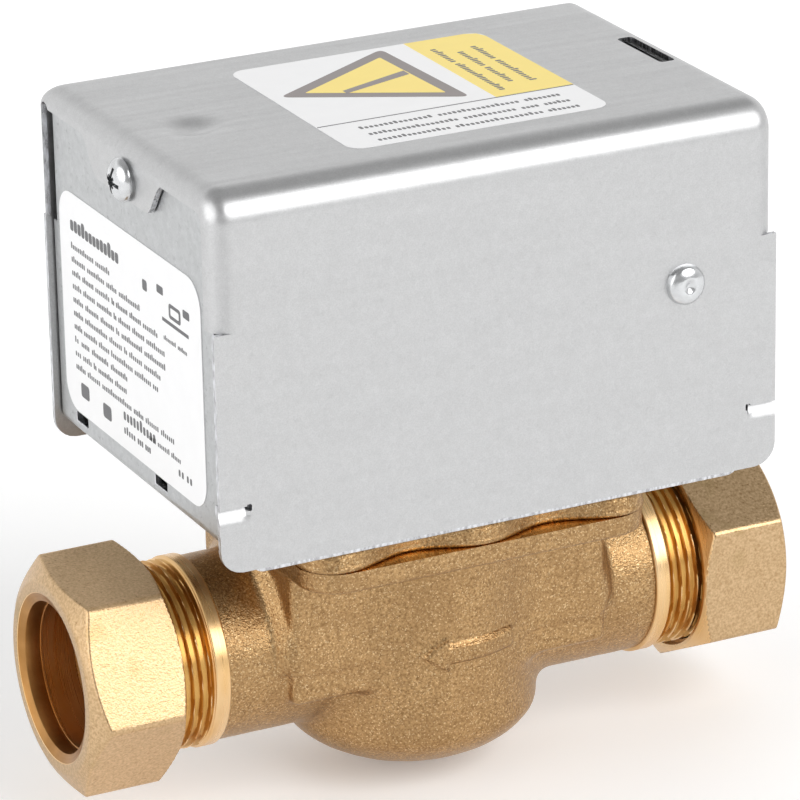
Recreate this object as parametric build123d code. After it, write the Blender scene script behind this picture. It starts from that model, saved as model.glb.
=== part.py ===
from build123d import *
import math
import os

# Two-port motorised zone valve for 22 mm tube: a cast body with compression ends, and a
# powerhead in a bent sheet case on top. Millimetres. The origin is the centre of port A's
# mouth, +X runs along the pipe towards port B, +Y towards the back, +Z up the valve stem.

os.makedirs("parts", exist_ok=True)

# Pipe line
TUBE_BORE_R = 11.1          # sockets, olives and nut lips for 22 mm tube
HALF_LENGTH = 55.7          # port mouth to the middle of the body
BODY_X = HALF_LENGTH
BARREL_R = 13.63
BAND_R = 14.1
BAND_IN, BAND_OUT = 34.5, 36.8
THREAD_CREST_R = 13.85
THREAD_ROOT_R = 13.15
THREAD_PITCH = 1.34
THREAD_RIDGES = 9
THREAD_RIDGE = [(0.10, THREAD_ROOT_R), (0.60, THREAD_ROOT_R), (0.90, THREAD_CREST_R), (1.05, THREAD_CREST_R)]
BODY_END = 49.6             # end of the threaded spigot, from the middle
SOCKET_END = 33.0           # pipe stop, from the middle
WATERWAY_R = 9.0

# Cast body
PAD_X, PAD_Y = 25.4, 15.3   # half size of the squared middle
PAD_LOW = -5.5
BOWL_R = 19.06
BOWL_LOW = -13.6            # where the bowl's rounded bottom starts
BOWL_DEPTH = 8.9
BOWL_KNEE = 5.0
CHAMBER_R = 15.5
WALL, SEAT_WALL = 1.6, 3.6
SCREW_TAP_R = 1.7
ARROW = [(-6.2, -0.4), (-2.6, 2.2), (-2.6, 0.9), (8.4, 1.0), (8.4, -1.7), (-2.6, -1.8), (-2.6, -3.0)]
ARROW_HEIGHT = 0.6
FLANGE_HALF = 27.2
FLANGE_LOW, FLANGE_TOP = 15.9, 19.1
LOBE_AT = 21.8              # corner screw lobes, from the middle
LOBE_R = 5.4
WAVE_MEAN, WAVE_SWING = 25.75, 1.45
BONNET_TOP = 22.7
SEAL_R, SEAL_WIDTH, SEAL_DEPTH = 17.4, 1.6, 1.2

# Nuts and olives
NUT_FLATS = 30.8
NUT_FACE, NUT_END = -0.7, 13.8
NUT_RING_R, NUT_BACK_R = 14.0, 15.0
NUT_CONE = 0.5
NUT_SINK_R = 12.5
NUT_BORE_R = 14.0
NUT_THREAD_START = 4.8
NUT_RELIEF_R, NUT_RELIEF_DEPTH = 14.5, 1.6
OLIVE_START, OLIVE_R = 2.4, 12.3
LEFT_NUT_TURN = 7.1
RIGHT_NUT_TURN = 33.6

# Stem and plug
STEM_X, STEM_Y = BODY_X + 4.0, 8.5
STEM_R = 3.0
STEM_LOW, STEM_HIGH = 7.2, 38.5
BALL_R = 7.0
ARM_LOW, ARM_HIGH = 7.6, 9.6
SEAT_R = 5.0
SEAT_X = STEM_X + 5.2

# Head
HEAD_X = BODY_X + 1.4
HEAD_HALF_X, HEAD_HALF_Y = 43.7, 29.75
HEAD_LOW, HEAD_TOP = 23.84, 78.48
SHEET = 0.8
COVER_BEND = 3.2
WRAP_LOW = 58.8             # below this the case's ends are plain sheared edges
BASE_SHEET = 1.0
BASE_LOW = BONNET_TOP
BASE_TOP = BASE_LOW + BASE_SHEET
BASE_HALF_Y = 28.4
END_FACE = 42.7             # outer face of an end plate, from the head's middle
END_FLAT = 37.4             # where the bottom turns up at 45 degrees
END_BEND_Z = 28.0
END_TOP = 76.0
END_HALF_Y = 27.2

# Actuator
GEAR_MODULE = 0.8
SECTOR_TEETH, PINION_TEETH = 58, 14
MESH_ANGLE = 225.0
GEAR_BACKLASH = 0.16
SECTOR_LOW, SECTOR_HIGH = 34.0, 37.0
PLATE_LOW, PLATE_HIGH = 42.0, 43.2
MOTOR_X, MOTOR_Y, MOTOR_R = HEAD_X - 17.0, -1.0, 23.0
MOTOR_TOP = 63.0
PIN_RADIUS, PIN_ANGLE, PIN_R = 12.0, 19.0, 1.5
LEVER_X, LEVER_Y = STEM_X + 30.0, STEM_Y
LEVER_ANGLE = -11.84
LEVER_LOW, LEVER_HIGH = 30.6, 32.2
GROMMET_Y, GROMMET_Z, CABLE_R = -14.0, 42.0, 3.6
SWITCH_X, SWITCH_Y = STEM_X + 11.0, STEM_Y - 8.4
STUD_X, STUD_Z = HEAD_X + 28.9, 53.7
STUD_R, STUD_HEIGHT, STUD_SHANK_R = 3.0, 1.7, 1.65
TAB_SCREW_Y, TAB_SCREW_Z = -1.0, 72.9
TAB_FRONT, TAB_BACK, TAB_LOW, TAB_CORNER_R = -7.0, 9.0, 70.0, 1.6
NOTCH_R = 2.0               # the end plate's notch for the tab's screw
VENT_X0, VENT_X1, VENT_Y0, VENT_Y1 = 38.2, 40.7, -6.0, 7.3
MARK_X, MARK_Y, MARK_BALL_R, MARK_DEPTH = -32.8, 2.4, 46.0, 0.4
CATCH_Z, CATCH_LENGTH, CATCH_R, CATCH_DEPTH = 33.4, 4.6, 1.1, 0.4
CASE_CORNER_R = 3.4
END_SLOT_YS, END_SLOT_WIDTH = (-9.5, 18.7), 4.2
END_SLOT_LOW, END_SLOT_HIGH = 28.9, 30.3
LEVER_SLOT_HALF, CABLE_HOLE_R = 5.9, 6.0
SCREW_HEAD_HOLE_R, HEAD_SCREW_HOLE_R, STEM_HOLE_R = 4.2, 2.1, 6.3

BODY_MIDDLE = (BODY_X, 0)
BONNET_SCREWS = [(BODY_X + i * LOBE_AT, j * LOBE_AT) for i in (-1, 1) for j in (-1, 1)]
HEAD_SCREWS = [(BODY_X, -22.5), (BODY_X, 22.5)]
PILLARS = [(HEAD_X - 33.5, -23.5), (HEAD_X - 34, 24.8), (HEAD_X + 7.5, -23.5), (HEAD_X + 9, 24)]
MOTOR_EAR_R = 25.5
MOTOR_EARS = [
    (MOTOR_X + MOTOR_EAR_R * math.cos(math.radians(a)), MOTOR_Y + MOTOR_EAR_R * math.sin(math.radians(a)))
    for a in (-60, 120)
]
SWITCH_SCREWS = [(SWITCH_X - 7.0, SWITCH_Y - 6.5), (SWITCH_X + 7.0, SWITCH_Y - 6.5)]
EARTH_SCREW = (HEAD_X + 31, -20)


def block(x0, x1, y0, y1, z0, z1):
    """A box given by its limits."""
    return Pos((x0 + x1) / 2, (y0 + y1) / 2, (z0 + z1) / 2) * Box(x1 - x0, y1 - y0, z1 - z0)


def post(radius, x, y, z0, z1):
    """An upright cylinder."""
    return Pos(x, y, (z0 + z1) / 2) * Cylinder(radius, z1 - z0)


def rod(radius, x0, x1, y=0.0, z=0.0):
    """A cylinder along X."""
    return Pos((x0 + x1) / 2, y, z) * Rot(0, 90, 0) * Cylinder(radius, x1 - x0)


def ring(outer, inner, x, y, z0, z1):
    """An upright tube."""
    return post(outer, x, y, z0, z1) - post(inner, x, y, z0 - 1, z1 + 1)


def turned(points):
    """A profile of (x, radius) points turned about the pipe's axis."""
    return revolve(make_face(Polyline(*points, close=True)), Axis.X)


def polar(x, y, radius, degrees):
    a = math.radians(degrees)
    return (x + radius * math.cos(a), y + radius * math.sin(a))


def drill(solid, places, radius, z0, z1):
    for x, y in places:
        solid -= post(radius, x, y, z0, z1)
    return solid


def mirrored_end(solid):
    """The same piece at the other port."""
    return mirror(solid, about=Plane.YZ.offset(BODY_X))


def screw(x, y, seat, head_r, head_h, shank_r, length):
    """A pan head screw pointing down, with a cross recess."""
    head = post(head_r, x, y, seat, seat + head_h)
    head = fillet(head.edges().sort_by(Axis.Z)[-1], head_h * 0.55)
    recess = block(-head_r * 0.55, head_r * 0.55, -0.3, 0.3, 0, head_h)
    recess += block(-0.3, 0.3, -head_r * 0.55, head_r * 0.55, 0, head_h)
    head -= Pos(x, y, seat + head_h * 0.45) * recess
    return head + post(shank_r, x, y, seat - length, seat)


def save(name, shape):
    shape.label = name
    export_step(shape, f"parts/{name}.step")


# ---------------------------------------------------------------- pipe line
def threaded_end():
    """One machined band and its spigot of thread ridges, at port A's side."""
    points = [(BODY_X - BAND_IN, 0), (BODY_X - BAND_IN, BAND_R), (BODY_X - BAND_OUT, BAND_R)]
    x = BODY_X - BAND_OUT
    for _ in range(THREAD_RIDGES):
        for back, radius in THREAD_RIDGE:
            points.append((x - back, radius))
        x -= THREAD_PITCH
    points.append((BODY_X - BODY_END, THREAD_ROOT_R))
    points.append((BODY_X - BODY_END, 0))
    return turned(points)


def bowl(radius, straight_low, depth, top, knee):
    """An upright cylinder with a domed bottom, about the body's middle."""
    low = straight_low - depth
    dome_r = (radius ** 2 + depth ** 2) / (2 * depth)
    half_way = radius / 2
    sag = dome_r - math.sqrt(dome_r ** 2 - half_way ** 2)
    dome = ThreePointArc((0, low), (half_way, low + sag), (radius, straight_low))
    side = Polyline((radius, straight_low), (radius, top), (0, top), (0, low))
    profile = make_face([dome, side])
    corner = profile.vertices().sort_by_distance((radius, straight_low))[0]
    profile = fillet(corner, knee)
    return Pos(BODY_X, 0, 0) * revolve(Plane.XZ * profile, Axis.Z)


def flow_arrow():
    """A raised arrow that follows the bowl's curved front, pointing to port A."""
    outline = make_face(Polyline(*[(BODY_X + x, z) for x, z in ARROW], close=True))
    prism = extrude(Plane.XZ * outline, BOWL_R + 3)
    return prism & post(BOWL_R + ARROW_HEIGHT, *BODY_MIDDLE, -6, 6)


def valve_body():
    shape = rod(BARREL_R, BODY_X - BAND_IN, BODY_X + BAND_IN)
    pad = extrude(RectangleRounded(2 * PAD_X, 2 * PAD_Y, 1.6), FLANGE_LOW - PAD_LOW)
    shape += Pos(BODY_X, 0, PAD_LOW) * pad
    shape += bowl(BOWL_R, BOWL_LOW, BOWL_DEPTH, FLANGE_LOW, BOWL_KNEE)
    flange = extrude(RectangleRounded(2 * FLANGE_HALF, 2 * FLANGE_HALF, 6.0), FLANGE_TOP - FLANGE_LOW)
    shape += Pos(BODY_X, 0, FLANGE_LOW) * flange
    shape += flow_arrow()
    shape += threaded_end()
    shape += mirrored_end(threaded_end())
    # the water space: chamber, seat nozzle, waterways and tube sockets
    shape -= bowl(CHAMBER_R, BOWL_LOW + WALL, BOWL_DEPTH - WALL, FLANGE_TOP, BOWL_KNEE - 1)
    shape += rod(SEAT_R + SEAT_WALL, SEAT_X, BODY_X + CHAMBER_R + 1)
    shape -= rod(SEAT_R, SEAT_X - 1, BODY_X + CHAMBER_R + 2)
    shape -= rod(WATERWAY_R, BODY_X - SOCKET_END, BODY_X - 8)
    shape -= rod(WATERWAY_R, BODY_X + CHAMBER_R + 1.5, BODY_X + SOCKET_END)
    mouth = BODY_X - BODY_END
    socket = [(mouth - 1, 0), (mouth - 1, 12.7), (mouth, 12.5), (mouth + 1.4, TUBE_BORE_R)]
    socket += [(BODY_X - SOCKET_END, TUBE_BORE_R), (BODY_X - SOCKET_END, 0)]
    shape -= turned(socket)
    shape -= mirrored_end(turned(socket))
    shape -= seal_ring(FLANGE_TOP + 1)
    shape = drill(shape, BONNET_SCREWS, SCREW_TAP_R, FLANGE_LOW - 1, FLANGE_TOP + 1)
    return drill(shape, HEAD_SCREWS, SCREW_TAP_R, FLANGE_LOW - 1, FLANGE_TOP + 1)


def nut(turn):
    """A hexagon compression nut at port A, chamfered at both ends, one corner turned up from +Y."""
    corner = NUT_FLATS / 2 / math.cos(math.radians(30))
    hexagon = Pos(NUT_FACE, 0, 0) * Rot(0, 90, 0) * extrude(RegularPolygon(corner, 6), NUT_END - NUT_FACE)
    hexagon = Rot(turn - 30, 0, 0) * hexagon
    over = corner + 0.2
    front_cone = NUT_FACE + (over - NUT_RING_R) * NUT_CONE
    back_cone = NUT_END - (over - NUT_BACK_R) * NUT_CONE
    envelope = [(NUT_FACE, 0), (NUT_FACE, NUT_RING_R), (front_cone, over)]
    envelope += [(back_cone, over), (NUT_END, NUT_BACK_R), (NUT_END, 0)]
    shape = hexagon & turned(envelope)
    bore = [(NUT_FACE - 1, 0), (NUT_FACE - 1, NUT_SINK_R), (NUT_FACE, NUT_SINK_R), (0, TUBE_BORE_R)]
    bore += [(OLIVE_START, TUBE_BORE_R), (NUT_THREAD_START, NUT_BORE_R)]
    bore += [(NUT_END - NUT_RELIEF_DEPTH, NUT_BORE_R), (NUT_END - NUT_RELIEF_DEPTH, NUT_RELIEF_R)]
    bore += [(NUT_END + 1, NUT_RELIEF_R), (NUT_END + 1, 0)]
    return shape - turned(bore)


def olive():
    """A compression ring between the nut's cone and the body's cone."""
    start, end = OLIVE_START + 0.05, BODY_X - BODY_END + 1.5
    points = [(start, TUBE_BORE_R), (start, TUBE_BORE_R + 0.04), (4.1, OLIVE_R), (5.6, OLIVE_R)]
    points += [(end, TUBE_BORE_R + 0.04), (end, TUBE_BORE_R)]
    return turned(points)


# ---------------------------------------------------------------- bonnet, stem and plug
def wavy_outline():
    """The bonnet's outline: a lobe at each corner and one in the middle of each side."""
    side = []
    steps = 16
    for i in range(steps + 1):
        x = -LOBE_AT + 2 * LOBE_AT * i / steps
        y = -WAVE_MEAN - WAVE_SWING * math.cos(2 * math.pi * x / LOBE_AT)
        side.append((x, y))
    wave = Spline(*side, tangents=[(1, 0), (1, 0)])
    corner = ThreePointArc(
        (LOBE_AT, -FLANGE_HALF),
        polar(LOBE_AT, -LOBE_AT, LOBE_R, -45),
        (FLANGE_HALF, -LOBE_AT),
    )
    edges = []
    for quarter in range(4):
        edges.append(Rot(0, 0, 90 * quarter) * wave)
        edges.append(Rot(0, 0, 90 * quarter) * corner)
    return make_face(edges)


def bonnet_plate():
    shape = Pos(BODY_X, 0, FLANGE_TOP) * extrude(wavy_outline(), BONNET_TOP - FLANGE_TOP)
    shape += post(5.2, STEM_X, STEM_Y, 12.5, FLANGE_TOP)
    shape += post(6.0, STEM_X, STEM_Y, BONNET_TOP, 25.0)
    shape -= post(STEM_R + 0.08, STEM_X, STEM_Y, 12, 26)
    shape = drill(shape, BONNET_SCREWS, 2.1, 18, 24)
    return drill(shape, HEAD_SCREWS, 2.1, 18, 24)


def seal_ring(top):
    """The ring that the bonnet's seal fills, from its groove's floor up to a level."""
    half = SEAL_WIDTH / 2
    return ring(SEAL_R + half, SEAL_R - half, *BODY_MIDDLE, FLANGE_TOP - SEAL_DEPTH, top)


def bonnet_seal():
    return seal_ring(FLANGE_TOP)


def bonnet_screws():
    return Compound([screw(x, y, BONNET_TOP, 3.4, 2.4, 1.65, 6.4) for x, y in BONNET_SCREWS])


O_RING_LEVELS = (19.6, 22.0)
O_RING_DEPTH, O_RING_HEIGHT = 0.7, 1.4


def stem_o_rings():
    rings = [
        ring(STEM_R, STEM_R - O_RING_DEPTH, STEM_X, STEM_Y, z, z + O_RING_HEIGHT) for z in O_RING_LEVELS
    ]
    return Compound(rings)


CLIP_LOW, CLIP_HIGH = 25.2, 26.0


def valve_stem():
    shape = post(STEM_R, STEM_X, STEM_Y, STEM_LOW, STEM_HIGH)
    shape += post(4.2, STEM_X, STEM_Y, ARM_HIGH, 12.3)
    for z in O_RING_LEVELS:
        shape -= ring(STEM_R + 1, STEM_R - O_RING_DEPTH, STEM_X, STEM_Y, z, z + O_RING_HEIGHT)
    shape -= ring(STEM_R + 1, STEM_R - 0.5, STEM_X, STEM_Y, CLIP_LOW, CLIP_HIGH)
    # flats that drive the sector
    shape -= block(STEM_X + 2.3, STEM_X + 4, STEM_Y - 4, STEM_Y + 4, SECTOR_LOW, STEM_HIGH + 1)
    return shape


def stem_clip():
    shape = ring(4.9, STEM_R - 0.5, STEM_X, STEM_Y, CLIP_LOW, CLIP_HIGH)
    return shape - block(STEM_X - 1.4, STEM_X + 1.4, STEM_Y + 2, STEM_Y + 6, CLIP_LOW, CLIP_HIGH)


def paddle_arm():
    """The arm on the stem's foot, with the pin that carries the ball."""
    link = SlotCenterToCenter(STEM_Y, 7.6)
    shape = extrude(Pos(STEM_X, STEM_Y / 2) * Rot(0, 0, 90) * link, ARM_HIGH - ARM_LOW)
    shape = Pos(0, 0, ARM_LOW) * shape
    shape -= post(STEM_R, STEM_X, STEM_Y, 0, 12)
    shape += post(1.6, STEM_X, 0, -4.5, ARM_LOW)
    return shape + post(2.6, STEM_X, 0, 7.0, ARM_LOW)


def ball_plug():
    shape = Pos(STEM_X, 0, 0) * Sphere(BALL_R)
    return shape - post(1.6, STEM_X, 0, -4.5, 8) - post(3.2, STEM_X, 0, 6.6, 8)


# ---------------------------------------------------------------- head: chassis and case
def base_plate():
    """A chassis of one bent sheet: a bottom and two upturned ends."""
    t = BASE_SHEET
    lean = t * math.tan(math.radians(22.5))
    outer = [(END_FACE, END_TOP), (END_FACE, END_BEND_Z), (END_FLAT, BASE_LOW)]
    inner = [(END_FLAT - lean, BASE_TOP), (END_FACE - t, END_BEND_Z + lean), (END_FACE - t, END_TOP)]
    points = [(-x, z) for x, z in outer] + outer[::-1]
    points += [(x, z) for x, z in inner[::-1]] + [(-x, z) for x, z in inner]
    profile = make_face(Polyline(*points, close=True))
    shape = Pos(HEAD_X, 0, 0) * extrude(Plane.XZ * profile, BASE_HALF_Y, both=True)
    # the upper ends fit inside the case's turned-in edges
    for side in (-1, 1):
        low, high = sorted((HEAD_X + side * (END_FACE + 1), HEAD_X + side * (END_FACE - 2)))
        shape -= block(low, high, END_HALF_Y, 30, WRAP_LOW - 0.6, END_TOP + 1)
        shape -= block(low, high, -30, -END_HALF_Y, WRAP_LOW - 0.6, END_TOP + 1)
        for y in (-END_HALF_Y, END_HALF_Y):
            shape -= Pos(HEAD_X + side * (END_FACE - 0.5), y, END_TOP) * Rot(45, 0, 0) * Box(4, 3, 3)
    under, over = BASE_LOW - 1, BASE_TOP + 1
    shape = drill(shape, BONNET_SCREWS, SCREW_HEAD_HOLE_R, under, over)
    shape = drill(shape, HEAD_SCREWS, HEAD_SCREW_HOLE_R, under, over)
    shape = drill(shape, PILLARS, 1.6, under, over)
    shape = drill(shape, SWITCH_SCREWS, 1.1, under, over)
    shape = drill(shape, [EARTH_SCREW], 1.6, under, over)
    shape = drill(shape, [(LEVER_X, LEVER_Y), SPRING_POST], 1.5, under, over)
    shape -= post(STEM_HOLE_R, STEM_X, STEM_Y, under, over)
    left = HEAD_X - END_FACE
    for y0 in END_SLOT_YS:
        shape -= block(left - 1, left + 2, y0, y0 + END_SLOT_WIDTH, END_SLOT_LOW, END_SLOT_HIGH)
    # an open-topped notch for the case's screw, the lever's slot and the cable's hole
    shape -= rod(NOTCH_R, left - 1, left + 2, TAB_SCREW_Y, TAB_SCREW_Z)
    shape -= block(left - 1, left + 2, TAB_SCREW_Y - NOTCH_R, TAB_SCREW_Y + NOTCH_R, TAB_SCREW_Z, END_TOP + 1)
    far = HEAD_X + END_FACE
    slot_y0, slot_y1 = LEVER_Y - LEVER_SLOT_HALF, LEVER_Y + LEVER_SLOT_HALF
    shape -= block(far - 2, far + 1, slot_y0, slot_y1, LEVER_LOW - 0.7, LEVER_HIGH + 0.7)
    return shape - rod(CABLE_HOLE_R, far - 2, far + 1, GROMMET_Y, GROMMET_Z)


def head_screws():
    return Compound([screw(x, y, BASE_TOP, 3.4, 2.4, 1.65, 7.6) for x, y in HEAD_SCREWS])


def cover():
    """The case: top, front and back of one sheet, with its upper ends turned in."""
    t = SHEET
    split = WRAP_LOW
    middle = (HEAD_TOP + split - 20) / 2
    height = HEAD_TOP - split + 20
    outer = Pos(HEAD_X, 0, middle) * Box(2 * HEAD_HALF_X, 2 * HEAD_HALF_Y, height)
    outer = fillet(outer.edges().filter_by_position(Axis.Z, split, HEAD_TOP + 1, (True, True)), COVER_BEND)
    inner = Pos(HEAD_X, 0, middle - t) * Box(2 * (HEAD_HALF_X - t), 2 * (HEAD_HALF_Y - t), height)
    inner = fillet(
        inner.edges().filter_by_position(Axis.Z, split - 5, HEAD_TOP + 1, (True, True)), COVER_BEND - t
    )
    hood = outer - inner
    hood -= block(HEAD_X - 60, HEAD_X + 60, -40, 40, split - 30, split)
    # the ends are open inside their turned-in edges
    mouth_y, mouth_z = HEAD_HALF_Y - COVER_BEND, HEAD_TOP - COVER_BEND - 0.1
    hood -= block(HEAD_X - 60, HEAD_X + 60, -mouth_y, mouth_y, split - 10, mouth_z)
    for side in (-1, 1):
        y0, y1 = sorted((side * HEAD_HALF_Y, side * (HEAD_HALF_Y - t)))
        wall = block(HEAD_X - HEAD_HALF_X, HEAD_X + HEAD_HALF_X, y0, y1, HEAD_LOW, split)
        wall = fillet(wall.edges().filter_by(Axis.Y).group_by(Axis.Z)[0], CASE_CORNER_R)
        hood += wall
    left = HEAD_X - HEAD_HALF_X
    tab = block(left, left + t, TAB_FRONT, TAB_BACK, TAB_LOW, mouth_z + 0.6)
    tab = fillet(tab.edges().filter_by(Axis.X).group_by(Axis.Z)[0], TAB_CORNER_R)
    hood += tab
    hood -= rod(1.8, left - 1, left + t + 1, TAB_SCREW_Y, TAB_SCREW_Z)
    # vent slot, shallow round mark, stud hole and the two pressed catches
    hood -= block(HEAD_X + VENT_X0, HEAD_X + VENT_X1, VENT_Y0, VENT_Y1, HEAD_TOP - 2, HEAD_TOP + 1)
    hood -= Pos(HEAD_X + MARK_X, MARK_Y, HEAD_TOP + MARK_BALL_R - MARK_DEPTH) * Sphere(MARK_BALL_R)
    hood -= Pos(STUD_X, -HEAD_HALF_Y, STUD_Z) * Rot(90, 0, 0) * Cylinder(STUD_SHANK_R + 0.05, 6)
    for x0 in (-HEAD_HALF_X - 1, HEAD_HALF_X - CATCH_LENGTH):
        catch_x1 = HEAD_X + x0 + CATCH_LENGTH + 1
        hood -= rod(CATCH_R, HEAD_X + x0, catch_x1, CATCH_DEPTH - CATCH_R - HEAD_HALF_Y, CATCH_Z)
    return hood


def cover_stud():
    """A domed stud pressed into the case's front."""
    dome = Pos(STUD_X, -HEAD_HALF_Y, STUD_Z) * Rot(90, 0, 0) * Cylinder(STUD_R, 2 * STUD_HEIGHT)
    dome = fillet(dome.edges().sort_by(Axis.Y)[0], STUD_HEIGHT - 0.15)
    dome -= block(STUD_X - 4, STUD_X + 4, -HEAD_HALF_Y, -HEAD_HALF_Y + 3, STUD_Z - 4, STUD_Z + 4)
    shank = Pos(STUD_X, -HEAD_HALF_Y + 1.2, STUD_Z) * Rot(90, 0, 0) * Cylinder(STUD_SHANK_R, 2.4)
    dimple = Pos(STUD_X, -HEAD_HALF_Y - 2.9, STUD_Z) * Sphere(1.6)
    return dome + shank - dimple


def cover_screw():
    """The pan head screw through the case's end tab."""
    upright = screw(0, 0, 0, 3.2, 2.2, 1.65, 5.4)
    return Pos(HEAD_X - HEAD_HALF_X - 0.02, TAB_SCREW_Y, TAB_SCREW_Z) * Rot(0, -90, 0) * upright


def cover_nut():
    """The square nut held behind the tab, inside the end plate's notch line."""
    x0 = HEAD_X - END_FACE + BASE_SHEET + 0.35
    shape = block(x0, x0 + 2.2, TAB_SCREW_Y - 3, TAB_SCREW_Y + 3, TAB_SCREW_Z - 3, TAB_SCREW_Z + 3)
    return shape - rod(1.7, x0 - 1, x0 + 4, TAB_SCREW_Y, TAB_SCREW_Z)


LABEL_THICK = 0.12
END_LABEL_SIZE = (49.4, 33.6, 4.2)      # width, height, corner radius
END_LABEL_Y, END_LABEL_Z = 1.3, 47.4
TOP_LABEL_SIZE = (40.4, 41.0, 2.4)
TOP_LABEL_X, TOP_LABEL_Y = 2.1, -0.1    # from the head's middle


def end_label():
    sheet = extrude(RectangleRounded(*END_LABEL_SIZE), LABEL_THICK)
    centre = (HEAD_X - END_FACE, END_LABEL_Y, END_LABEL_Z)
    return Plane(origin=centre, x_dir=(0, -1, 0), z_dir=(-1, 0, 0)) * sheet


def top_label():
    sheet = extrude(RectangleRounded(*TOP_LABEL_SIZE), LABEL_THICK)
    return Pos(HEAD_X + TOP_LABEL_X, TOP_LABEL_Y, HEAD_TOP) * sheet


# ---------------------------------------------------------------- actuator
def involute(angle):
    return math.tan(angle) - angle


def tooth(x, y, teeth, centre_angle):
    """One involute tooth as a flat face, a little thinner than its space."""
    pressure = math.radians(20)
    pitch_r = GEAR_MODULE * teeth / 2
    base_r = pitch_r * math.cos(pressure)
    root_r, tip_r = pitch_r - 1.25 * GEAR_MODULE, pitch_r + GEAR_MODULE
    half = math.pi / (2 * teeth) - GEAR_BACKLASH / (2 * pitch_r) + involute(pressure)
    start = max(base_r, root_r)
    flank = []
    steps = 5
    for i in range(steps + 1):
        r = start + (tip_r - start) * i / steps
        flank.append((r, half - involute(math.acos(min(1.0, base_r / r)))))
    flank = [(root_r - 0.6, flank[0][1])] + flank
    right = [polar(x, y, r, centre_angle - math.degrees(a)) for r, a in flank]
    left = [polar(x, y, r, centre_angle + math.degrees(a)) for r, a in flank[::-1]]
    return make_face(Polyline(*right, *left, close=True))


SPRING_ANGLE = 60.0
SPRING_POST = polar(STEM_X, STEM_Y, 12.0, SPRING_ANGLE)
CENTRES = GEAR_MODULE * (SECTOR_TEETH + PINION_TEETH) / 2
PINION = polar(STEM_X, STEM_Y, CENTRES, MESH_ANGLE)


def sector_gear():
    """The toothed quadrant on the stem, with a hub and the lever's drive pin."""
    root_r = GEAR_MODULE * (SECTOR_TEETH / 2 - 1.25)
    step = 360 / SECTOR_TEETH
    first, last = -1, 8
    a0, a1 = MESH_ANGLE + (first - 0.5) * step, MESH_ANGLE + (last + 0.5) * step
    rim0, rim1 = polar(STEM_X, STEM_Y, root_r, a0), polar(STEM_X, STEM_Y, root_r, a1)
    rim = ThreePointArc(rim0, polar(STEM_X, STEM_Y, root_r, (a0 + a1) / 2), rim1)
    web = make_face([rim, Line(rim1, (STEM_X, STEM_Y)), Line((STEM_X, STEM_Y), rim0)])
    flat = web + Pos(STEM_X, STEM_Y) * Circle(6.0)
    for k in range(first, last + 1):
        flat += tooth(STEM_X, STEM_Y, SECTOR_TEETH, MESH_ANGLE + k * step)
    pin = polar(STEM_X, STEM_Y, PIN_RADIUS, PIN_ANGLE)
    tail_mid = polar(STEM_X, STEM_Y, PIN_RADIUS / 2, PIN_ANGLE)
    flat += Pos(*tail_mid) * Rot(0, 0, PIN_ANGLE) * SlotCenterToCenter(PIN_RADIUS, 6.0)
    window = polar(STEM_X, STEM_Y, 14.0, (a0 + a1) / 2)
    flat -= Pos(*window) * Circle(3.6)
    shape = Pos(0, 0, SECTOR_LOW) * extrude(flat, SECTOR_HIGH - SECTOR_LOW)
    bore = post(STEM_R, STEM_X, STEM_Y, 30, 40)
    bore -= block(STEM_X + 2.3, STEM_X + 4, STEM_Y - 4, STEM_Y + 4, 29, 41)
    return shape - bore + post(PIN_R, *pin, 26.6, SECTOR_LOW)


def motor_pinion():
    """The motor's output gear and shaft, with a tooth space facing the sector."""
    step = 360 / PINION_TEETH
    flat = Pos(*PINION) * Circle(GEAR_MODULE * (PINION_TEETH / 2 - 1.25))
    for k in range(PINION_TEETH):
        flat += tooth(*PINION, PINION_TEETH, MESH_ANGLE + 180 + (k + 0.5) * step)
    shape = Pos(0, 0, SECTOR_LOW - 0.5) * extrude(flat, SECTOR_HIGH - SECTOR_LOW + 1)
    shape += post(3.0, *PINION, SECTOR_HIGH + 0.5, 39.6)
    return shape + post(1.5, *PINION, 39.6, 48)


def pinion_bush():
    shape = ring(3.2, 1.56, *PINION, PLATE_LOW - 1.0, PLATE_HIGH)
    return shape + ring(4.4, 1.56, *PINION, PLATE_LOW - 1.8, PLATE_LOW - 0.05)


def plate_pillars():
    return Compound([ring(2.6, 1.2, x, y, BASE_TOP, PLATE_LOW) for x, y in PILLARS])


def motor_plate():
    shape = block(HEAD_X - 41, HEAD_X + 13, -27, 27.6, PLATE_LOW, PLATE_HIGH)
    shape = fillet(shape.edges().filter_by(Axis.Z), 4.0)
    shape = drill(shape, PILLARS, 1.4, 40, 46)
    shape = drill(shape, MOTOR_EARS, 1.2, 40, 46)
    shape -= post(3.2, *PINION, 40, 46)
    return shape - post(4.0, STEM_X, STEM_Y, 40, 46)


def pillar_screws():
    return Compound([screw(x, y, PLATE_HIGH, 2.6, 1.8, 1.2, 6.0) for x, y in PILLARS])


def motor_can():
    """The synchronous motor's drawn can, with its two fixing ears."""
    shape = post(MOTOR_R, MOTOR_X, MOTOR_Y, PLATE_HIGH, MOTOR_TOP)
    shape = fillet(shape.edges().sort_by(Axis.Z)[0], 1.2)
    for x, y in MOTOR_EARS:
        angle = math.degrees(math.atan2(y - MOTOR_Y, x - MOTOR_X))
        ear = extrude(Rot(0, 0, angle) * SlotCenterToCenter(8.0, 5.6), 1.0)
        root = polar(MOTOR_X, MOTOR_Y, MOTOR_EAR_R - 4.0, angle)
        shape += Pos(*root, PLATE_HIGH) * ear
    shape -= post(MOTOR_R - 1, MOTOR_X, MOTOR_Y, PLATE_HIGH + 1, MOTOR_TOP + 1)
    shape = drill(shape, MOTOR_EARS, 1.3, 40, 50)
    return shape - post(3.0, *PINION, 40, 50)


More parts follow.
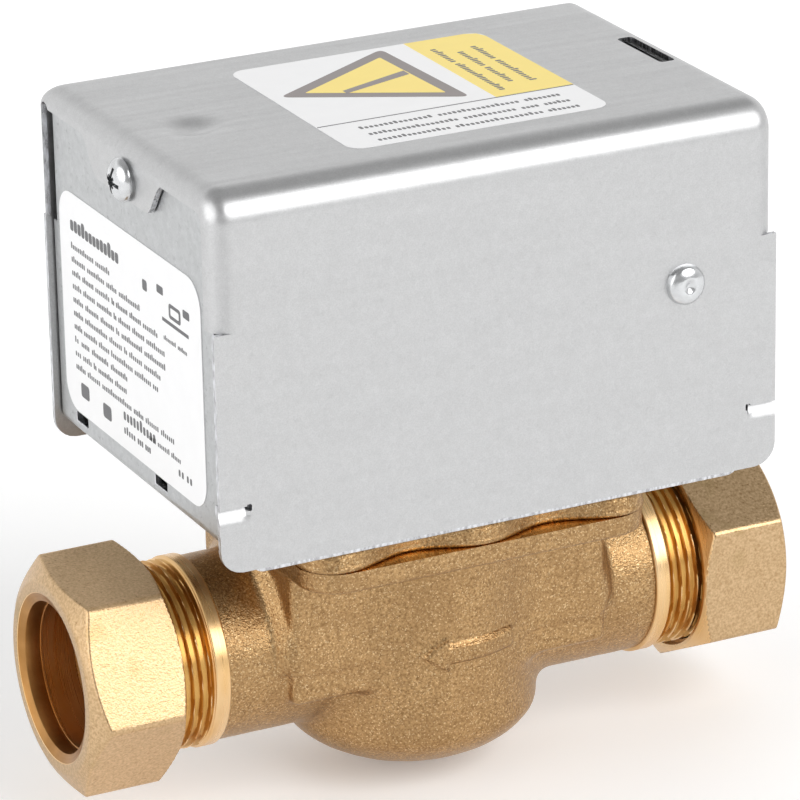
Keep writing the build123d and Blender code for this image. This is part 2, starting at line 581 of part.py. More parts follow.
def motor_coil():
    return ring(21.4, 13.6, MOTOR_X, MOTOR_Y, PLATE_HIGH + 3, MOTOR_TOP - 2)


def motor_cap():
    shape = post(MOTOR_R - 1.02, MOTOR_X, MOTOR_Y, MOTOR_TOP - 1.5, MOTOR_TOP)
    shape += post(MOTOR_R - 0.6, MOTOR_X, MOTOR_Y, MOTOR_TOP, MOTOR_TOP + 1.4)
    shape = fillet(shape.edges().sort_by(Axis.Z)[-1], 0.7)
    return shape + post(6.0, MOTOR_X, MOTOR_Y, MOTOR_TOP + 1.4, MOTOR_TOP + 2.6)


def motor_screws():
    return Compound([screw(x, y, PLATE_HIGH + 1.0, 2.5, 1.7, 1.15, 3.6) for x, y in MOTOR_EARS])


def return_spring():
    """The torsion spring about the stem: its foot on a post, its free leg on the drive pin."""
    wire, radius, pitch, turns = 0.55, 7.0, 1.25, 4
    low = 28.0
    leg_angle = PIN_ANGLE - math.degrees((PIN_R + wire + 0.05) / PIN_RADIUS)
    foot_angle = SPRING_ANGLE - math.degrees((PIN_R + wire + 0.05) / PIN_RADIUS)
    sweep_turns = turns + (leg_angle - foot_angle) / 360
    path = Helix(pitch, pitch * sweep_turns, radius)
    section = Plane(origin=path @ 0, z_dir=path % 0) * Circle(wire)
    coil = Pos(STEM_X, STEM_Y, low) * Rot(0, 0, foot_angle) * sweep(section, path=path, is_frenet=True)
    for z, angle in ((low, foot_angle), (low + pitch * sweep_turns, leg_angle)):
        leg = Rot(0, 90, 0) * Cylinder(wire * 0.96, 8.2)
        coil += Pos(*polar(STEM_X, STEM_Y, radius + 3.6, angle), z) * Rot(0, 0, angle) * leg
    return coil


def spring_post():
    return post(1.5, *SPRING_POST, BASE_LOW + 0.1, 29.5)


def manual_lever():
    """The hand lever: a fork on the drive pin, a pivot eye, and an arm out of the end slot."""
    thick = LEVER_HIGH - LEVER_LOW
    inner = block(-21.2, 0, -3.6, 3.6, 0, thick)
    outer = block(0, 18.0, -2.8, 2.8, 0, thick)
    shape = inner + outer + post(5.0, 0, 0, 0, thick)
    shape -= block(-23, -16.0, -PIN_R - 0.4, PIN_R + 0.4, -1, thick + 1)
    shape -= post(2.56, 0, 0, -1, thick + 1)
    return Pos(LEVER_X, LEVER_Y, LEVER_LOW) * Rot(0, 0, LEVER_ANGLE) * shape


def lever_knob():
    """The moulded grip pushed onto the lever's end."""
    thick = LEVER_HIGH - LEVER_LOW
    grip = Pos(15.6, 0, thick / 2) * Box(7.2, 8.0, 4.4)
    grip = fillet(grip.edges(), 1.2)
    grip -= block(0, 18.0, -2.8, 2.8, 0, thick)
    return Pos(LEVER_X, LEVER_Y, LEVER_LOW) * Rot(0, 0, LEVER_ANGLE) * grip


def lever_pivot():
    """A shouldered post on the base that carries the lever."""
    shape = post(4.2, LEVER_X, LEVER_Y, BASE_TOP, LEVER_LOW - 0.1)
    shape += post(2.5, LEVER_X, LEVER_Y, LEVER_LOW - 0.1, LEVER_HIGH + 1.6)
    shape += post(1.45, LEVER_X, LEVER_Y, BASE_LOW + 0.1, BASE_TOP)
    return shape - ring(3.5, 1.9, LEVER_X, LEVER_Y, LEVER_HIGH + 0.2, LEVER_HIGH + 0.9)


def pivot_clip():
    shape = ring(4.2, 1.9, LEVER_X, LEVER_Y, LEVER_HIGH + 0.2, LEVER_HIGH + 0.9)
    gap = block(LEVER_X - 1, LEVER_X + 1, LEVER_Y + 1.2, LEVER_Y + 5, LEVER_HIGH, LEVER_HIGH + 1)
    return shape - gap


# ---------------------------------------------------------------- switch and wiring pieces
PLUNGER_R, PLUNGER_Z = 1.1, 27.4


def switch_body():
    """The snap-action switch that closes when the valve is fully open."""
    shape = block(SWITCH_X - 10, SWITCH_X + 10, SWITCH_Y - 10, SWITCH_Y, BASE_TOP + 0.1, 30.1)
    shape = fillet(shape.edges().filter_by(Axis.Z), 0.8)
    shape = drill(shape, SWITCH_SCREWS, 1.2, 20, 34)
    hole = Pos(SWITCH_X + 0.3, SWITCH_Y - 1.5, PLUNGER_Z) * Rot(90, 0, 0) * Cylinder(PLUNGER_R + 0.06, 5)
    return shape - hole


def switch_plunger():
    return Pos(SWITCH_X + 0.3, SWITCH_Y - 0.15, PLUNGER_Z) * Rot(90, 0, 0) * Cylinder(PLUNGER_R, 4.7)


def switch_terminals():
    blades = []
    for x in (-7.5, 0.0, 7.5):
        blade = block(SWITCH_X + x - 1.4, SWITCH_X + x + 1.4, SWITCH_Y - 15, SWITCH_Y - 10, 26.9, 27.5)
        blades.append(blade - post(0.6, SWITCH_X + x, SWITCH_Y - 13.4, 26, 29))
    return Compound(blades)


def switch_screws():
    return Compound([screw(x, y, 30.1, 2.0, 1.4, 1.05, 7.2) for x, y in SWITCH_SCREWS])


def cable_grommet():
    """The bush that lines the cable's hole in the right end plate."""
    face = HEAD_X + END_FACE
    shape = rod(5.95, face - 3.4, face + 3.2, GROMMET_Y, GROMMET_Z)
    shape += rod(7.6, face + 0.02, face + 3.2, GROMMET_Y, GROMMET_Z)
    shape += rod(7.2, face - 3.4, face - BASE_SHEET - 0.02, GROMMET_Y, GROMMET_Z)
    shape = fillet(shape.edges().sort_by(Axis.X)[-1], 1.0)
    return shape - rod(CABLE_R, face - 5, face + 5, GROMMET_Y, GROMMET_Z)


def earth_screw():
    x, y = EARTH_SCREW
    return screw(x, y, BASE_TOP + 0.8, 3.0, 2.0, 1.55, 1.8)


def earth_tag():
    x, y = EARTH_SCREW
    shape = post(3.6, x, y, BASE_TOP, BASE_TOP + 0.8)
    shape += block(x - 1.6, x + 1.6, y, y + 9.0, BASE_TOP, BASE_TOP + 0.8)
    return shape - post(1.6, x, y, 20, 30)


save("valve_body", valve_body())
save("left_nut", nut(LEFT_NUT_TURN))
save("right_nut", mirrored_end(nut(RIGHT_NUT_TURN)))
save("left_olive", olive())
save("right_olive", mirrored_end(olive()))
save("bonnet_seal", bonnet_seal())
save("bonnet_plate", bonnet_plate())
save("bonnet_screws", bonnet_screws())
save("valve_stem", valve_stem())
save("stem_o_rings", stem_o_rings())
save("stem_clip", stem_clip())
save("paddle_arm", paddle_arm())
save("ball_plug", ball_plug())
save("base_plate", base_plate())
save("head_screws", head_screws())
save("cover", cover())
save("cover_stud", cover_stud())
save("cover_screw", cover_screw())
save("cover_nut", cover_nut())
save("end_label", end_label())
save("top_label", top_label())
save("sector_gear", sector_gear())
save("motor_pinion", motor_pinion())
save("pinion_bush", pinion_bush())
save("plate_pillars", plate_pillars())
save("motor_plate", motor_plate())
save("pillar_screws", pillar_screws())
save("motor_can", motor_can())
save("motor_coil", motor_coil())
save("motor_cap", motor_cap())
save("motor_screws", motor_screws())
save("return_spring", return_spring())
save("spring_post", spring_post())
save("manual_lever", manual_lever())
save("lever_knob", lever_knob())
save("lever_pivot", lever_pivot())
save("pivot_clip", pivot_clip())
save("switch_body", switch_body())
save("switch_plunger", switch_plunger())
save("switch_terminals", switch_terminals())
save("switch_screws", switch_screws())
save("cable_grommet", cable_grommet())
save("earth_screw", earth_screw())
save("earth_tag", earth_tag())
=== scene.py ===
import math

import bmesh
import bpy
import numpy as np
from mathutils import Matrix, Vector, noise


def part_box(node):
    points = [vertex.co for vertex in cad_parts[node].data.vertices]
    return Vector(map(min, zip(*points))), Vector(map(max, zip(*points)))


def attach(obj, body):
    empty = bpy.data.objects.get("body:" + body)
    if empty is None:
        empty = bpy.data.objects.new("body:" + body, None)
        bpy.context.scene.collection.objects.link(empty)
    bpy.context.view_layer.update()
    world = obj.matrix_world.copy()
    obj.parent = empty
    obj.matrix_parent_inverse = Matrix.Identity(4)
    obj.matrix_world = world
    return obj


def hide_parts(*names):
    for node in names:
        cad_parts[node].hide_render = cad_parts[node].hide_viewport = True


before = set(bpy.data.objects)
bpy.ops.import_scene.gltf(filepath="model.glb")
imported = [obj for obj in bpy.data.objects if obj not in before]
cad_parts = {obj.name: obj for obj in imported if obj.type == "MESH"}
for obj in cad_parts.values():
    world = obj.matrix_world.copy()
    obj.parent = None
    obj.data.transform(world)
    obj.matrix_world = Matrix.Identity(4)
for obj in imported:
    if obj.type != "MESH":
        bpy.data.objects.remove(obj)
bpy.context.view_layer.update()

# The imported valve's looks. Sizes below are in millimetres in the part's frame, and meshes are
# scaled to metres when they become objects. Places come from the CAD nodes' boxes.
MM = 0.001


def box_mm(node):
    low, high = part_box(node)
    return low / MM, high / MM


def middle_of(node):
    return tuple((a + b) / 2 for a, b in zip(*box_mm(node)))


body_low, body_high = box_mm("valve_body")
case_low, case_high = box_mm("cover")
chassis_low, chassis_high = box_mm("base_plate")
nut_low, _ = box_mm("left_nut")
BODY_X = (body_low.x + body_high.x) / 2
HEAD_X = (case_low.x + case_high.x) / 2
FLANGE_TOP = box_mm("bonnet_seal")[1].z
BONNET_TOP = chassis_low.z
FLANGE_HALF = body_high.y
BODY_LOW = body_low.z
SPIGOT_HALF = body_high.x - BODY_X
MIDDLE = (BODY_X, 0, 0)

BORE_R = 11.1
SEAL_R = 12.6
SOCKET_DEPTH = 33.0
BARREL_R = 13.63
BAND_R = 14.1
BAND_IN, BAND_OUT = 34.5, 36.8
THREAD_R, THREAD_DEPTH, THREAD_PITCH = 13.85, 0.72, 1.34
RUN_IN, RUN_OUT, CREST_DEPTH = 0.6, 0.8, 0.12
BOWL_R, BOWL_STRAIGHT_LOW = 19.06, -13.6
BOWL_POWER = 1.78
DOME = BOWL_STRAIGHT_LOW - BODY_LOW
CHAMBER_R = 15.5
LOBE_AT, LOBE_R = 21.8, 5.4
SHEET = 0.8
BEND_R, FRONT_R = 3.2, 4.6
# the case's ends are turned in from its top down to here
WRAP_LOW = 58.8


# ---------------------------------------------------------------- mesh helpers
def mesh_object(name, bm, materials, sharp=32.0):
    """Turns a bmesh in millimetres into a smooth-shaded object, sharp only past an angle."""
    bmesh.ops.recalc_face_normals(bm, faces=bm.faces)
    bmesh.ops.transform(bm, matrix=Matrix.Scale(MM, 4), verts=bm.verts)
    mesh = bpy.data.meshes.new(name)
    bm.to_mesh(mesh)
    bm.free()
    for material in materials:
        mesh.materials.append(material)
    obj = bpy.data.objects.new(name, mesh)
    bpy.context.scene.collection.objects.link(obj)
    shade(obj, sharp)
    return obj


def shade(obj, sharp):
    obj.data.polygons.foreach_set("use_smooth", [True] * len(obj.data.polygons))
    obj.data.set_sharp_from_angle(angle=math.radians(sharp))


def grid_faces(bm, rows, close_rows=False, close_columns=False, material=0):
    """Quads between rows of vertices of equal length."""
    count = len(rows)
    width = len(rows[0])
    for i in range(count if close_rows else count - 1):
        for j in range(width if close_columns else width - 1):
            a, b = rows[i][j], rows[i][(j + 1) % width]
            c, d = rows[(i + 1) % count][(j + 1) % width], rows[(i + 1) % count][j]
            if len({a, b, c, d}) == 4:
                face = bm.faces.new((a, b, c, d))
                face.material_index = material


def lathe(bm, points, axis, centre, segments=96, closed=True, materials=None):
    """Turns (along, radius) points about an axis through centre. A closed profile makes a ring."""
    rows = []
    for along, radius in points:
        row = []
        for k in range(segments):
            a = 2 * math.pi * k / segments
            u, v = radius * math.cos(a), radius * math.sin(a)
            place = (along, u, v) if axis == "X" else (u, v, along)
            row.append(bm.verts.new(Vector(centre) + Vector(place)))
        rows.append(row)
    count = len(points) if closed else len(points) - 1
    for i in range(count):
        picked = materials[i] if materials else 0
        grid_faces(bm, [rows[i], rows[(i + 1) % len(rows)]], close_columns=True, material=picked)
    if not closed:
        bm.faces.new(rows[0][::-1])
        bm.faces.new(rows[-1])


def lathe_solid(bm, points, axis, centre, segments=96):
    lathe(bm, points, axis, centre, segments, closed=False)


def prism(bm, outline, low, high, axis="Z"):
    """A closed prism of a flat outline. The outline is XY for axis Z and XZ for axis Y."""
    rings = []
    for level in (low, high):
        if axis == "Z":
            rings.append([bm.verts.new((a, b, level)) for a, b in outline])
        elif axis == "Y":
            rings.append([bm.verts.new((a, level, b)) for a, b in outline])
        else:
            rings.append([bm.verts.new((level, a, b)) for a, b in outline])
    grid_faces(bm, rings, close_columns=True)
    bm.faces.new(rings[0][::-1])
    bm.faces.new(rings[1])


def rounded_rectangle(x0, x1, y0, y1, radius, steps=8):
    points = []
    corners = ((x1 - radius, y1 - radius, 0), (x0 + radius, y1 - radius, 90))
    corners += ((x0 + radius, y0 + radius, 180), (x1 - radius, y0 + radius, 270))
    for cx, cy, start in corners:
        for k in range(steps + 1):
            a = math.radians(start + 90 * k / steps)
            points.append((cx + radius * math.cos(a), cy + radius * math.sin(a)))
    return points


def apply_modifiers(obj):
    graph = bpy.context.evaluated_depsgraph_get()
    mesh = bpy.data.meshes.new_from_object(obj.evaluated_get(graph), depsgraph=graph)
    obj.modifiers.clear()
    old = obj.data
    obj.data = mesh
    mesh.name = old.name
    bpy.data.meshes.remove(old)


def subtract(obj, bm, material, solver="EXACT"):
    """Cuts a bmesh's closed solids out of an object. The faces it leaves take the material."""
    cutter = mesh_object("cutter", bm, [material])
    cut = obj.modifiers.new("cut", "BOOLEAN")
    cut.operation = "DIFFERENCE"
    cut.solver = solver
    cut.object = cutter
    apply_modifiers(obj)
    bpy.data.objects.remove(cutter)


def bevel(obj, width, segments=2, angle=35.0):
    edge = obj.modifiers.new("bevel", "BEVEL")
    edge.width = width * MM
    edge.segments = segments
    edge.limit_method = "ANGLE"
    edge.angle_limit = math.radians(angle)
    edge.use_clamp_overlap = True
    edge.harden_normals = False
    apply_modifiers(obj)


def finish_piece(obj, body, slot, *nodes):
    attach(obj, body)
    if nodes:
        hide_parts(*nodes)
    return obj


# ---------------------------------------------------------------- materials
class Shader:
    """A Principled material and short calls for the nodes that feed it."""

    def __init__(self, name, metallic, roughness, colour):
        self.material = bpy.data.materials.new(name)
        self.material.use_nodes = True
        self.tree = self.material.node_tree
        self.bsdf = self.tree.nodes["Principled BSDF"]
        self.bsdf.inputs["Metallic"].default_value = metallic
        self.bsdf.inputs["Roughness"].default_value = roughness
        self.bsdf.inputs["Base Color"].default_value = (*colour, 1)
        self.coordinates = self.tree.nodes.new("ShaderNodeTexCoord").outputs["Object"]

    def node(self, kind, inputs=None, **settings):
        made = self.tree.nodes.new(kind)
        for key, value in settings.items():
            setattr(made, key, value)
        for key, value in (inputs or {}).items():
            if isinstance(value, bpy.types.NodeSocket):
                self.tree.links.new(value, made.inputs[key])
            else:
                made.inputs[key].default_value = value
        return made

    def stretched(self, x, y, z):
        node = self.node("ShaderNodeMapping", {"Vector": self.coordinates})
        node.inputs["Scale"].default_value = (x, y, z)
        return node.outputs["Vector"]

    def noise(self, cell, detail=2.0, roughness=0.5, vector=None):
        """Noise whose features are about cell millimetres wide."""
        inputs = {"Vector": vector or self.coordinates, "Scale": 1 / (cell * MM)}
        inputs["Detail"] = detail
        inputs["Roughness"] = roughness
        return self.node("ShaderNodeTexNoise", inputs).outputs["Fac"]

    def cells(self, cell, output="Distance", feature="F1", vector=None):
        inputs = {"Vector": vector or self.coordinates, "Scale": 1 / (cell * MM)}
        return self.node("ShaderNodeTexVoronoi", inputs, feature=feature).outputs[output]

    def spread(self, value, low, high, to_low=0.0, to_high=1.0):
        inputs = {"Value": value, "From Min": low, "From Max": high}
        inputs.update({"To Min": to_low, "To Max": to_high})
        return self.node("ShaderNodeMapRange", inputs).outputs["Result"]

    def maths(self, operation, a, b):
        return self.node("ShaderNodeMath", {0: a, 1: b}, operation=operation).outputs[0]

    def mix(self, factor, a, b, blend="MIX"):
        node = self.tree.nodes.new("ShaderNodeMix")
        node.data_type = "RGBA"
        node.blend_type = blend
        for socket, value in ((node.inputs[0], factor), (node.inputs[6], a), (node.inputs[7], b)):
            if isinstance(value, bpy.types.NodeSocket):
                self.tree.links.new(value, socket)
            elif isinstance(value, tuple):
                socket.default_value = (*value, 1)
            else:
                socket.default_value = value
        return node.outputs[2]

    def colour(self, socket):
        self.tree.links.new(socket, self.bsdf.inputs["Base Color"])

    def roughness(self, socket):
        self.tree.links.new(socket, self.bsdf.inputs["Roughness"])

    def bump(self, height, depth, strength=1.0, base=None):
        """Adds relief of about depth millimetres. Returns the normal, for another bump on it."""
        inputs = {"Height": height, "Distance": depth * MM, "Strength": strength}
        if base:
            inputs["Normal"] = base
        node = self.node("ShaderNodeBump", inputs)
        self.tree.links.new(node.outputs["Normal"], self.bsdf.inputs["Normal"])
        return node.outputs["Normal"]


def cast_brass():
    """Shot-blasted sand casting: dull olive gold, with bright flecks painted in as glints on its grains."""
    s = Shader("cast_brass", 1.0, 0.36, (0.5, 0.34, 0.15))
    grain = s.noise(0.36, 3, 0.65)
    patches = s.noise(8, 3)
    base = s.mix(s.spread(grain, 0.34, 0.66), (0.25, 0.14, 0.058), (0.60, 0.385, 0.18))
    base = s.mix(s.spread(patches, 0.35, 0.7, 0.0, 0.45), base, (0.31, 0.18, 0.078))
    # painted glints: small random cells turned pale gold, a painted highlight for light catching the grains
    painted_glint = s.node("ShaderNodeSeparateColor", {"Color": s.cells(0.17, "Color")}).outputs[0]
    painted_glint = s.spread(painted_glint, 0.88, 0.97)
    s.colour(s.mix(s.maths("MULTIPLY", painted_glint, 0.5), base, (0.95, 0.72, 0.42)))
    s.roughness(s.spread(grain, 0.3, 0.7, 0.28, 0.44))
    coarse = s.bump(s.noise(0.55, 2), 0.10, 0.9)
    s.bump(s.cells(0.24), 0.05, 0.8, coarse)
    return s.material


def forged_brass():
    """The nuts' fine granular forging, paler than the casting, with a few stains."""
    s = Shader("forged_brass", 1.0, 0.36, (0.72, 0.53, 0.30))
    grain = s.noise(0.38, 3, 0.6)
    base = s.mix(s.spread(grain, 0.34, 0.68), (0.46, 0.30, 0.150), (0.68, 0.48, 0.280))
    stain = s.spread(s.noise(7.5, 2), 0.60, 0.70, 0.0, 0.45)
    s.colour(s.mix(stain, base, (0.40, 0.28, 0.12)))
    s.roughness(s.spread(grain, 0.3, 0.7, 0.27, 0.38))
    coarse = s.bump(s.noise(0.45, 2), 0.04, 0.6)
    s.bump(s.cells(0.26), 0.03, 0.6, coarse)
    return s.material


def turned_brass():
    """Machined surfaces: bright satin gold with fine tool rings about the pipe's axis."""
    s = Shader("turned_brass", 1.0, 0.17, (0.83, 0.53, 0.20))
    rings = s.noise(0.22, 2, vector=s.stretched(1, 0.004, 0.004))
    tone = s.noise(5, 2, vector=s.stretched(1.5, 0.4, 0.4))
    s.colour(s.mix(s.spread(tone, 0.3, 0.7), (0.74, 0.46, 0.19), (0.86, 0.62, 0.36)))
    s.roughness(s.spread(rings, 0.3, 0.7, 0.24, 0.36))
    s.bump(rings, 0.004, 0.5)
    return s.material


def recess_shade_brass(name, low, high):
    """Brass in threads and bores: a darker orange brown, partly an oiled finish and partly painted shade in
    these hollows, with faint tool rings.
    """
    s = Shader(name, 1.0, 0.32, low)
    rings = s.noise(0.15, 2, vector=s.stretched(1, 0.002, 0.002))
    tone = s.noise(4, 3)
    s.colour(s.mix(s.spread(tone, 0.3, 0.7), low, high))
    s.roughness(s.spread(rings, 0.3, 0.7, 0.28, 0.38))
    s.bump(rings, 0.001, 0.3)
    return s.material


def milled_brass():
    """Flat faces cut by a milling cutter, such as the top of the flange."""
    s = Shader("milled_brass", 1.0, 0.22, (0.86, 0.52, 0.18))
    marks = s.noise(0.3, 2, vector=s.stretched(1, 0.05, 1))
    s.colour(s.mix(s.spread(marks, 0.35, 0.65), (0.78, 0.44, 0.13), (0.90, 0.60, 0.24)))
    s.roughness(s.spread(marks, 0.3, 0.7, 0.16, 0.30))
    s.bump(marks, 0.006, 0.5)
    return s.material


def galvanised(name, mottle, tint=(0.60, 0.61, 0.615)):
    """Hot-dip zinc sheet: a fine spangle and grain, faint rolling streaks and small dark veins."""
    s = Shader(name, 1.0, 0.34, tint)
    bright = tuple(min(1.0, c * (1.0 + 0.10)) for c in tint)
    dull = tuple(c * (1.0 - 0.12 * mottle) for c in tint)
    warp = s.noise(1.6, 3, 0.6)
    spangle = s.node("ShaderNodeSeparateColor", {"Color": s.cells(0.8, "Color")}).outputs[0]
    blend = s.maths("MULTIPLY", s.spread(spangle, 0, 1, 0.4, 0.6), s.spread(warp, 0.3, 0.7, 0.8, 1.2))
    base = s.mix(s.spread(blend, 0.2, 0.85), dull, bright)
    grain = s.noise(0.22, 2, 0.7)
    base = s.mix(s.spread(grain, 0.35, 0.65, 0.0, 0.40), base, tuple(c * 0.76 for c in tint))
    vein = s.spread(s.noise(1.3, 5, 0.75), 0.58, 0.68, 0.0, 0.34 * mottle)
    s.colour(s.mix(vein, base, tuple(c * 0.45 for c in tint)))
    streak = s.noise(1.4, 3, vector=s.stretched(0.05, 1, 1))
    s.roughness(s.spread(streak, 0.3, 0.7, 0.34, 0.44))
    fine = s.bump(grain, 0.012, 0.6)
    s.bump(s.noise(0.7, 3), 0.02, 0.35 * mottle, fine)
    return s.material


def sheared_edge():
    """The cut edge of the zinc sheet: bright, with short tear marks across it."""
    s = Shader("sheared_edge", 1.0, 0.30, (0.66, 0.67, 0.69))
    tears = s.noise(0.5, 3, vector=s.stretched(1, 1, 0.3))
    s.colour(s.mix(s.spread(tears, 0.38, 0.64), (0.42, 0.42, 0.43), (0.76, 0.77, 0.80)))
    s.roughness(s.spread(tears, 0.3, 0.7, 0.22, 0.42))
    s.bump(tears, 0.03, 0.6)
    return s.material


def plated_steel(name, colour, rough):
    s = Shader(name, 1.0, rough, colour)
    haze = s.noise(1.2, 4)
    s.colour(s.mix(s.spread(haze, 0.35, 0.7, 0.0, 0.5), colour, tuple(c * 0.72 for c in colour)))
    s.roughness(s.spread(haze, 0.3, 0.7, rough * 0.8, rough * 1.4))
    s.bump(s.noise(0.3, 2), 0.006, 0.5)
    return s.material


def film(name, colour, rough=0.32, depth=0.15):
    """Printed label film and inks: a satin coat with a very faint mottling."""
    s = Shader(name, 0.0, rough, colour)
    s.bsdf.inputs["Coat Weight"].default_value = 0.25
    s.bsdf.inputs["Coat Roughness"].default_value = 0.2
    tone = s.noise(3, 3)
    s.colour(s.mix(s.spread(tone, 0.3, 0.7, 0.0, depth), colour, tuple(c * 0.86 for c in colour)))
    s.bump(s.noise(0.8, 2), 0.004, 0.5)
    return s.material


def moulded(name, colour, rough, grain=0.25):
    """Moulded plastic or rubber with a fine spark-eroded texture."""
    s = Shader(name, 0.0, rough, colour)
    tone = s.noise(2.5, 3)
    dark, light = (tuple(c * share for c in colour) for share in (0.85, 1.1))
    s.colour(s.mix(s.spread(tone, 0.3, 0.7), dark, light))
    s.roughness(s.spread(tone, 0.3, 0.7, rough * 0.85, min(1.0, rough * 1.2)))
    s.bump(s.noise(grain, 2), 0.012, 0.5)
    return s.material


def wound_coil():
    """A taped motor winding: amber tape with the lap of each turn showing."""
    s = Shader("wound_coil", 0.0, 0.45, (0.62, 0.42, 0.10))
    laps = s.noise(0.6, 2, vector=s.stretched(0.05, 0.05, 1))
    s.colour(s.mix(s.spread(laps, 0.4, 0.6), (0.50, 0.31, 0.06), (0.72, 0.52, 0.16)))
    s.bump(laps, 0.05, 0.8)
    return s.material


def pale_floor():
    s = Shader("pale_floor", 0.0, 0.55, (0.93, 0.93, 0.93))
    s.colour(s.mix(s.spread(s.noise(40, 3), 0.3, 0.7), (0.925, 0.925, 0.925), (0.94, 0.94, 0.94)))
    s.bsdf.inputs["Emission Color"].default_value = (1, 1, 1, 1)
    s.bsdf.inputs["Emission Strength"].default_value = 0.20
    return s.material


CAST = cast_brass()
FORGED = forged_brass()
TURNED = turned_brass()
MILLED = milled_brass()
# painted shade: thread roots and bores take darker brass than the turned crests, as shade in these hollows
SHADED_THREAD_BRASS = recess_shade_brass("thread_root_painted_shade", (0.50, 0.265, 0.07), (0.65, 0.38, 0.12))
SHADED_BORE = recess_shade_brass("bore_painted_shade", (0.34, 0.165, 0.05), (0.48, 0.25, 0.085))
ZINC = galvanised("galvanised_case", 0.35, (0.565, 0.567, 0.57))
ZINC_CHASSIS = galvanised("galvanised_chassis", 1.6, (0.56, 0.57, 0.575))
SHEARED = sheared_edge()
SCREW = plated_steel("bright_screw", (0.70, 0.71, 0.72), 0.20)
PLATE = plated_steel("plated_plate", (0.56, 0.57, 0.58), 0.30)
WIRE = plated_steel("spring_wire", (0.40, 0.40, 0.41), 0.28)
MOTOR = plated_steel("drawn_can", (0.58, 0.58, 0.57), 0.26)
LABEL = film("label_film", (0.85, 0.85, 0.855))
INK = film("label_ink", (0.075, 0.075, 0.08), 0.40, 0.3)
GREY_INK = film("label_grey_ink", (0.20, 0.17, 0.16), 0.40, 0.3)
YELLOW = film("label_yellow", (0.94, 0.72, 0.12), 0.36)
RUBBER = moulded("black_rubber", (0.022, 0.022, 0.024), 0.62)
BLACK = moulded("black_plastic", (0.03, 0.03, 0.033), 0.42)
RED = moulded("red_plastic", (0.50, 0.03, 0.025), 0.35)
NYLON = moulded("white_nylon", (0.80, 0.77, 0.68), 0.42)
COIL = wound_coil()
FLOOR = pale_floor()


# ---------------------------------------------------------------- cast body
def smooth_step(value):
    value = max(0.0, min(1.0, value))
    return value * value * (3 - 2 * value)


ARROW = ((-6.2, -0.4), (-2.6, 2.2), (-2.6, 0.9), (8.4, 1.0), (8.4, -1.7), (-2.6, -1.8), (-2.6, -3.0))


def inside_depth(x, z, outline):
    """How far a point lies inside an outline, negative outside."""
    inside = False
    nearest = 1e9
    for (x0, z0), (x1, z1) in zip(outline, outline[1:] + outline[:1]):
        if (z0 > z) != (z1 > z) and x < (x1 - x0) * (z - z0) / (z1 - z0) + x0:
            inside = not inside
        along = ((x - x0) * (x1 - x0) + (z - z0) * (z1 - z0)) / ((x1 - x0) ** 2 + (z1 - z0) ** 2)
        along = max(0.0, min(1.0, along))
        nearest = min(nearest, math.hypot(x - x0 - along * (x1 - x0), z - z0 - along * (z1 - z0)))
    return nearest if inside else -nearest


def bowl_profile(radius, straight_low, depth, top, steps=18):
    """Points (height, radius) of an upright cup with a domed bottom."""
    points = []
    for k in range(steps + 1):
        a = math.pi / 2 * k / steps
        r = radius * math.sin(a) ** (2 / BOWL_POWER)
        z = straight_low - depth * math.cos(a) ** (2 / BOWL_POWER)
        points.append((z, max(r, 0.02)))
    points.append((top, radius))
    return points


def soft_union(a, b, blend):
    """The lower of two distance fields, with a fillet where they meet."""
    mixed = np.clip(0.5 + 0.5 * (b - a) / blend, 0, 1)
    return b * (1 - mixed) + a * mixed - blend * mixed * (1 - mixed)


def box_distance(x, y, z, half, middle_z, radius):
    """Distance to a box about the body's middle with every edge rounded."""
    qx = np.abs(x) - half[0] + radius
    qy = np.abs(y) - half[1] + radius
    qz = np.abs(z - middle_z) - half[2] + radius
    outside = np.sqrt(np.maximum(qx, 0) ** 2 + np.maximum(qy, 0) ** 2 + np.maximum(qz, 0) ** 2)
    return outside + np.minimum(np.maximum(np.maximum(qx, qy), qz), 0) - radius


def plate_distance(x, y, z, half, corner, low, high, edge):
    """Distance to an upright plate with a rounded square outline."""
    qx, qy = np.abs(x) - half + corner, np.abs(y) - half + corner
    flat = np.hypot(np.maximum(qx, 0), np.maximum(qy, 0)) + np.minimum(np.maximum(qx, qy), 0) - corner
    tall = np.abs(z - (low + high) / 2) - (high - low) / 2
    a, b = flat + edge, tall + edge
    return np.hypot(np.maximum(a, 0), np.maximum(b, 0)) + np.minimum(np.maximum(a, b), 0) - edge


def bowl_distance(x, y, z):
    """Roughly the distance to the bowl: a drum with a domed bottom."""
    out = np.maximum(np.hypot(x, y) / BOWL_R, 1e-6)
    down = np.maximum(BOWL_STRAIGHT_LOW - z, 0) / DOME
    level = (out ** BOWL_POWER + down ** BOWL_POWER) ** (1 / BOWL_POWER)
    steeper = (1 / DOME - 1 / BOWL_R) * np.clip(down, 0, 1) ** 2
    slope = np.where(down > 0, 1 / BOWL_R + steeper, 1 / BOWL_R)
    return (level - 1) / slope


def casting_distance(x, y, z):
    """The whole rough casting as one distance field, with its fillets."""
    barrel = np.hypot(y, z) - BARREL_R
    pad = box_distance(x, y, z, (25.4, 15.3, 12.75), 7.25, 1.3)
    # the shoulders about the barrel above the pipe's middle, at each end of the squared middle
    shoulder = np.maximum(np.hypot(y, z) - 15.0, np.maximum(np.abs(x) - 26.6, -z))
    bowl = bowl_distance(x, y, z)
    flange = plate_distance(x, y, z, FLANGE_HALF, 6.0, 15.9, FLANGE_TOP + 3, 0.9)
    solid = soft_union(soft_union(barrel, pad, 1.0), shoulder, 1.6)
    solid = soft_union(solid, bowl, 2.6)
    return soft_union(solid, flange, 3.2)


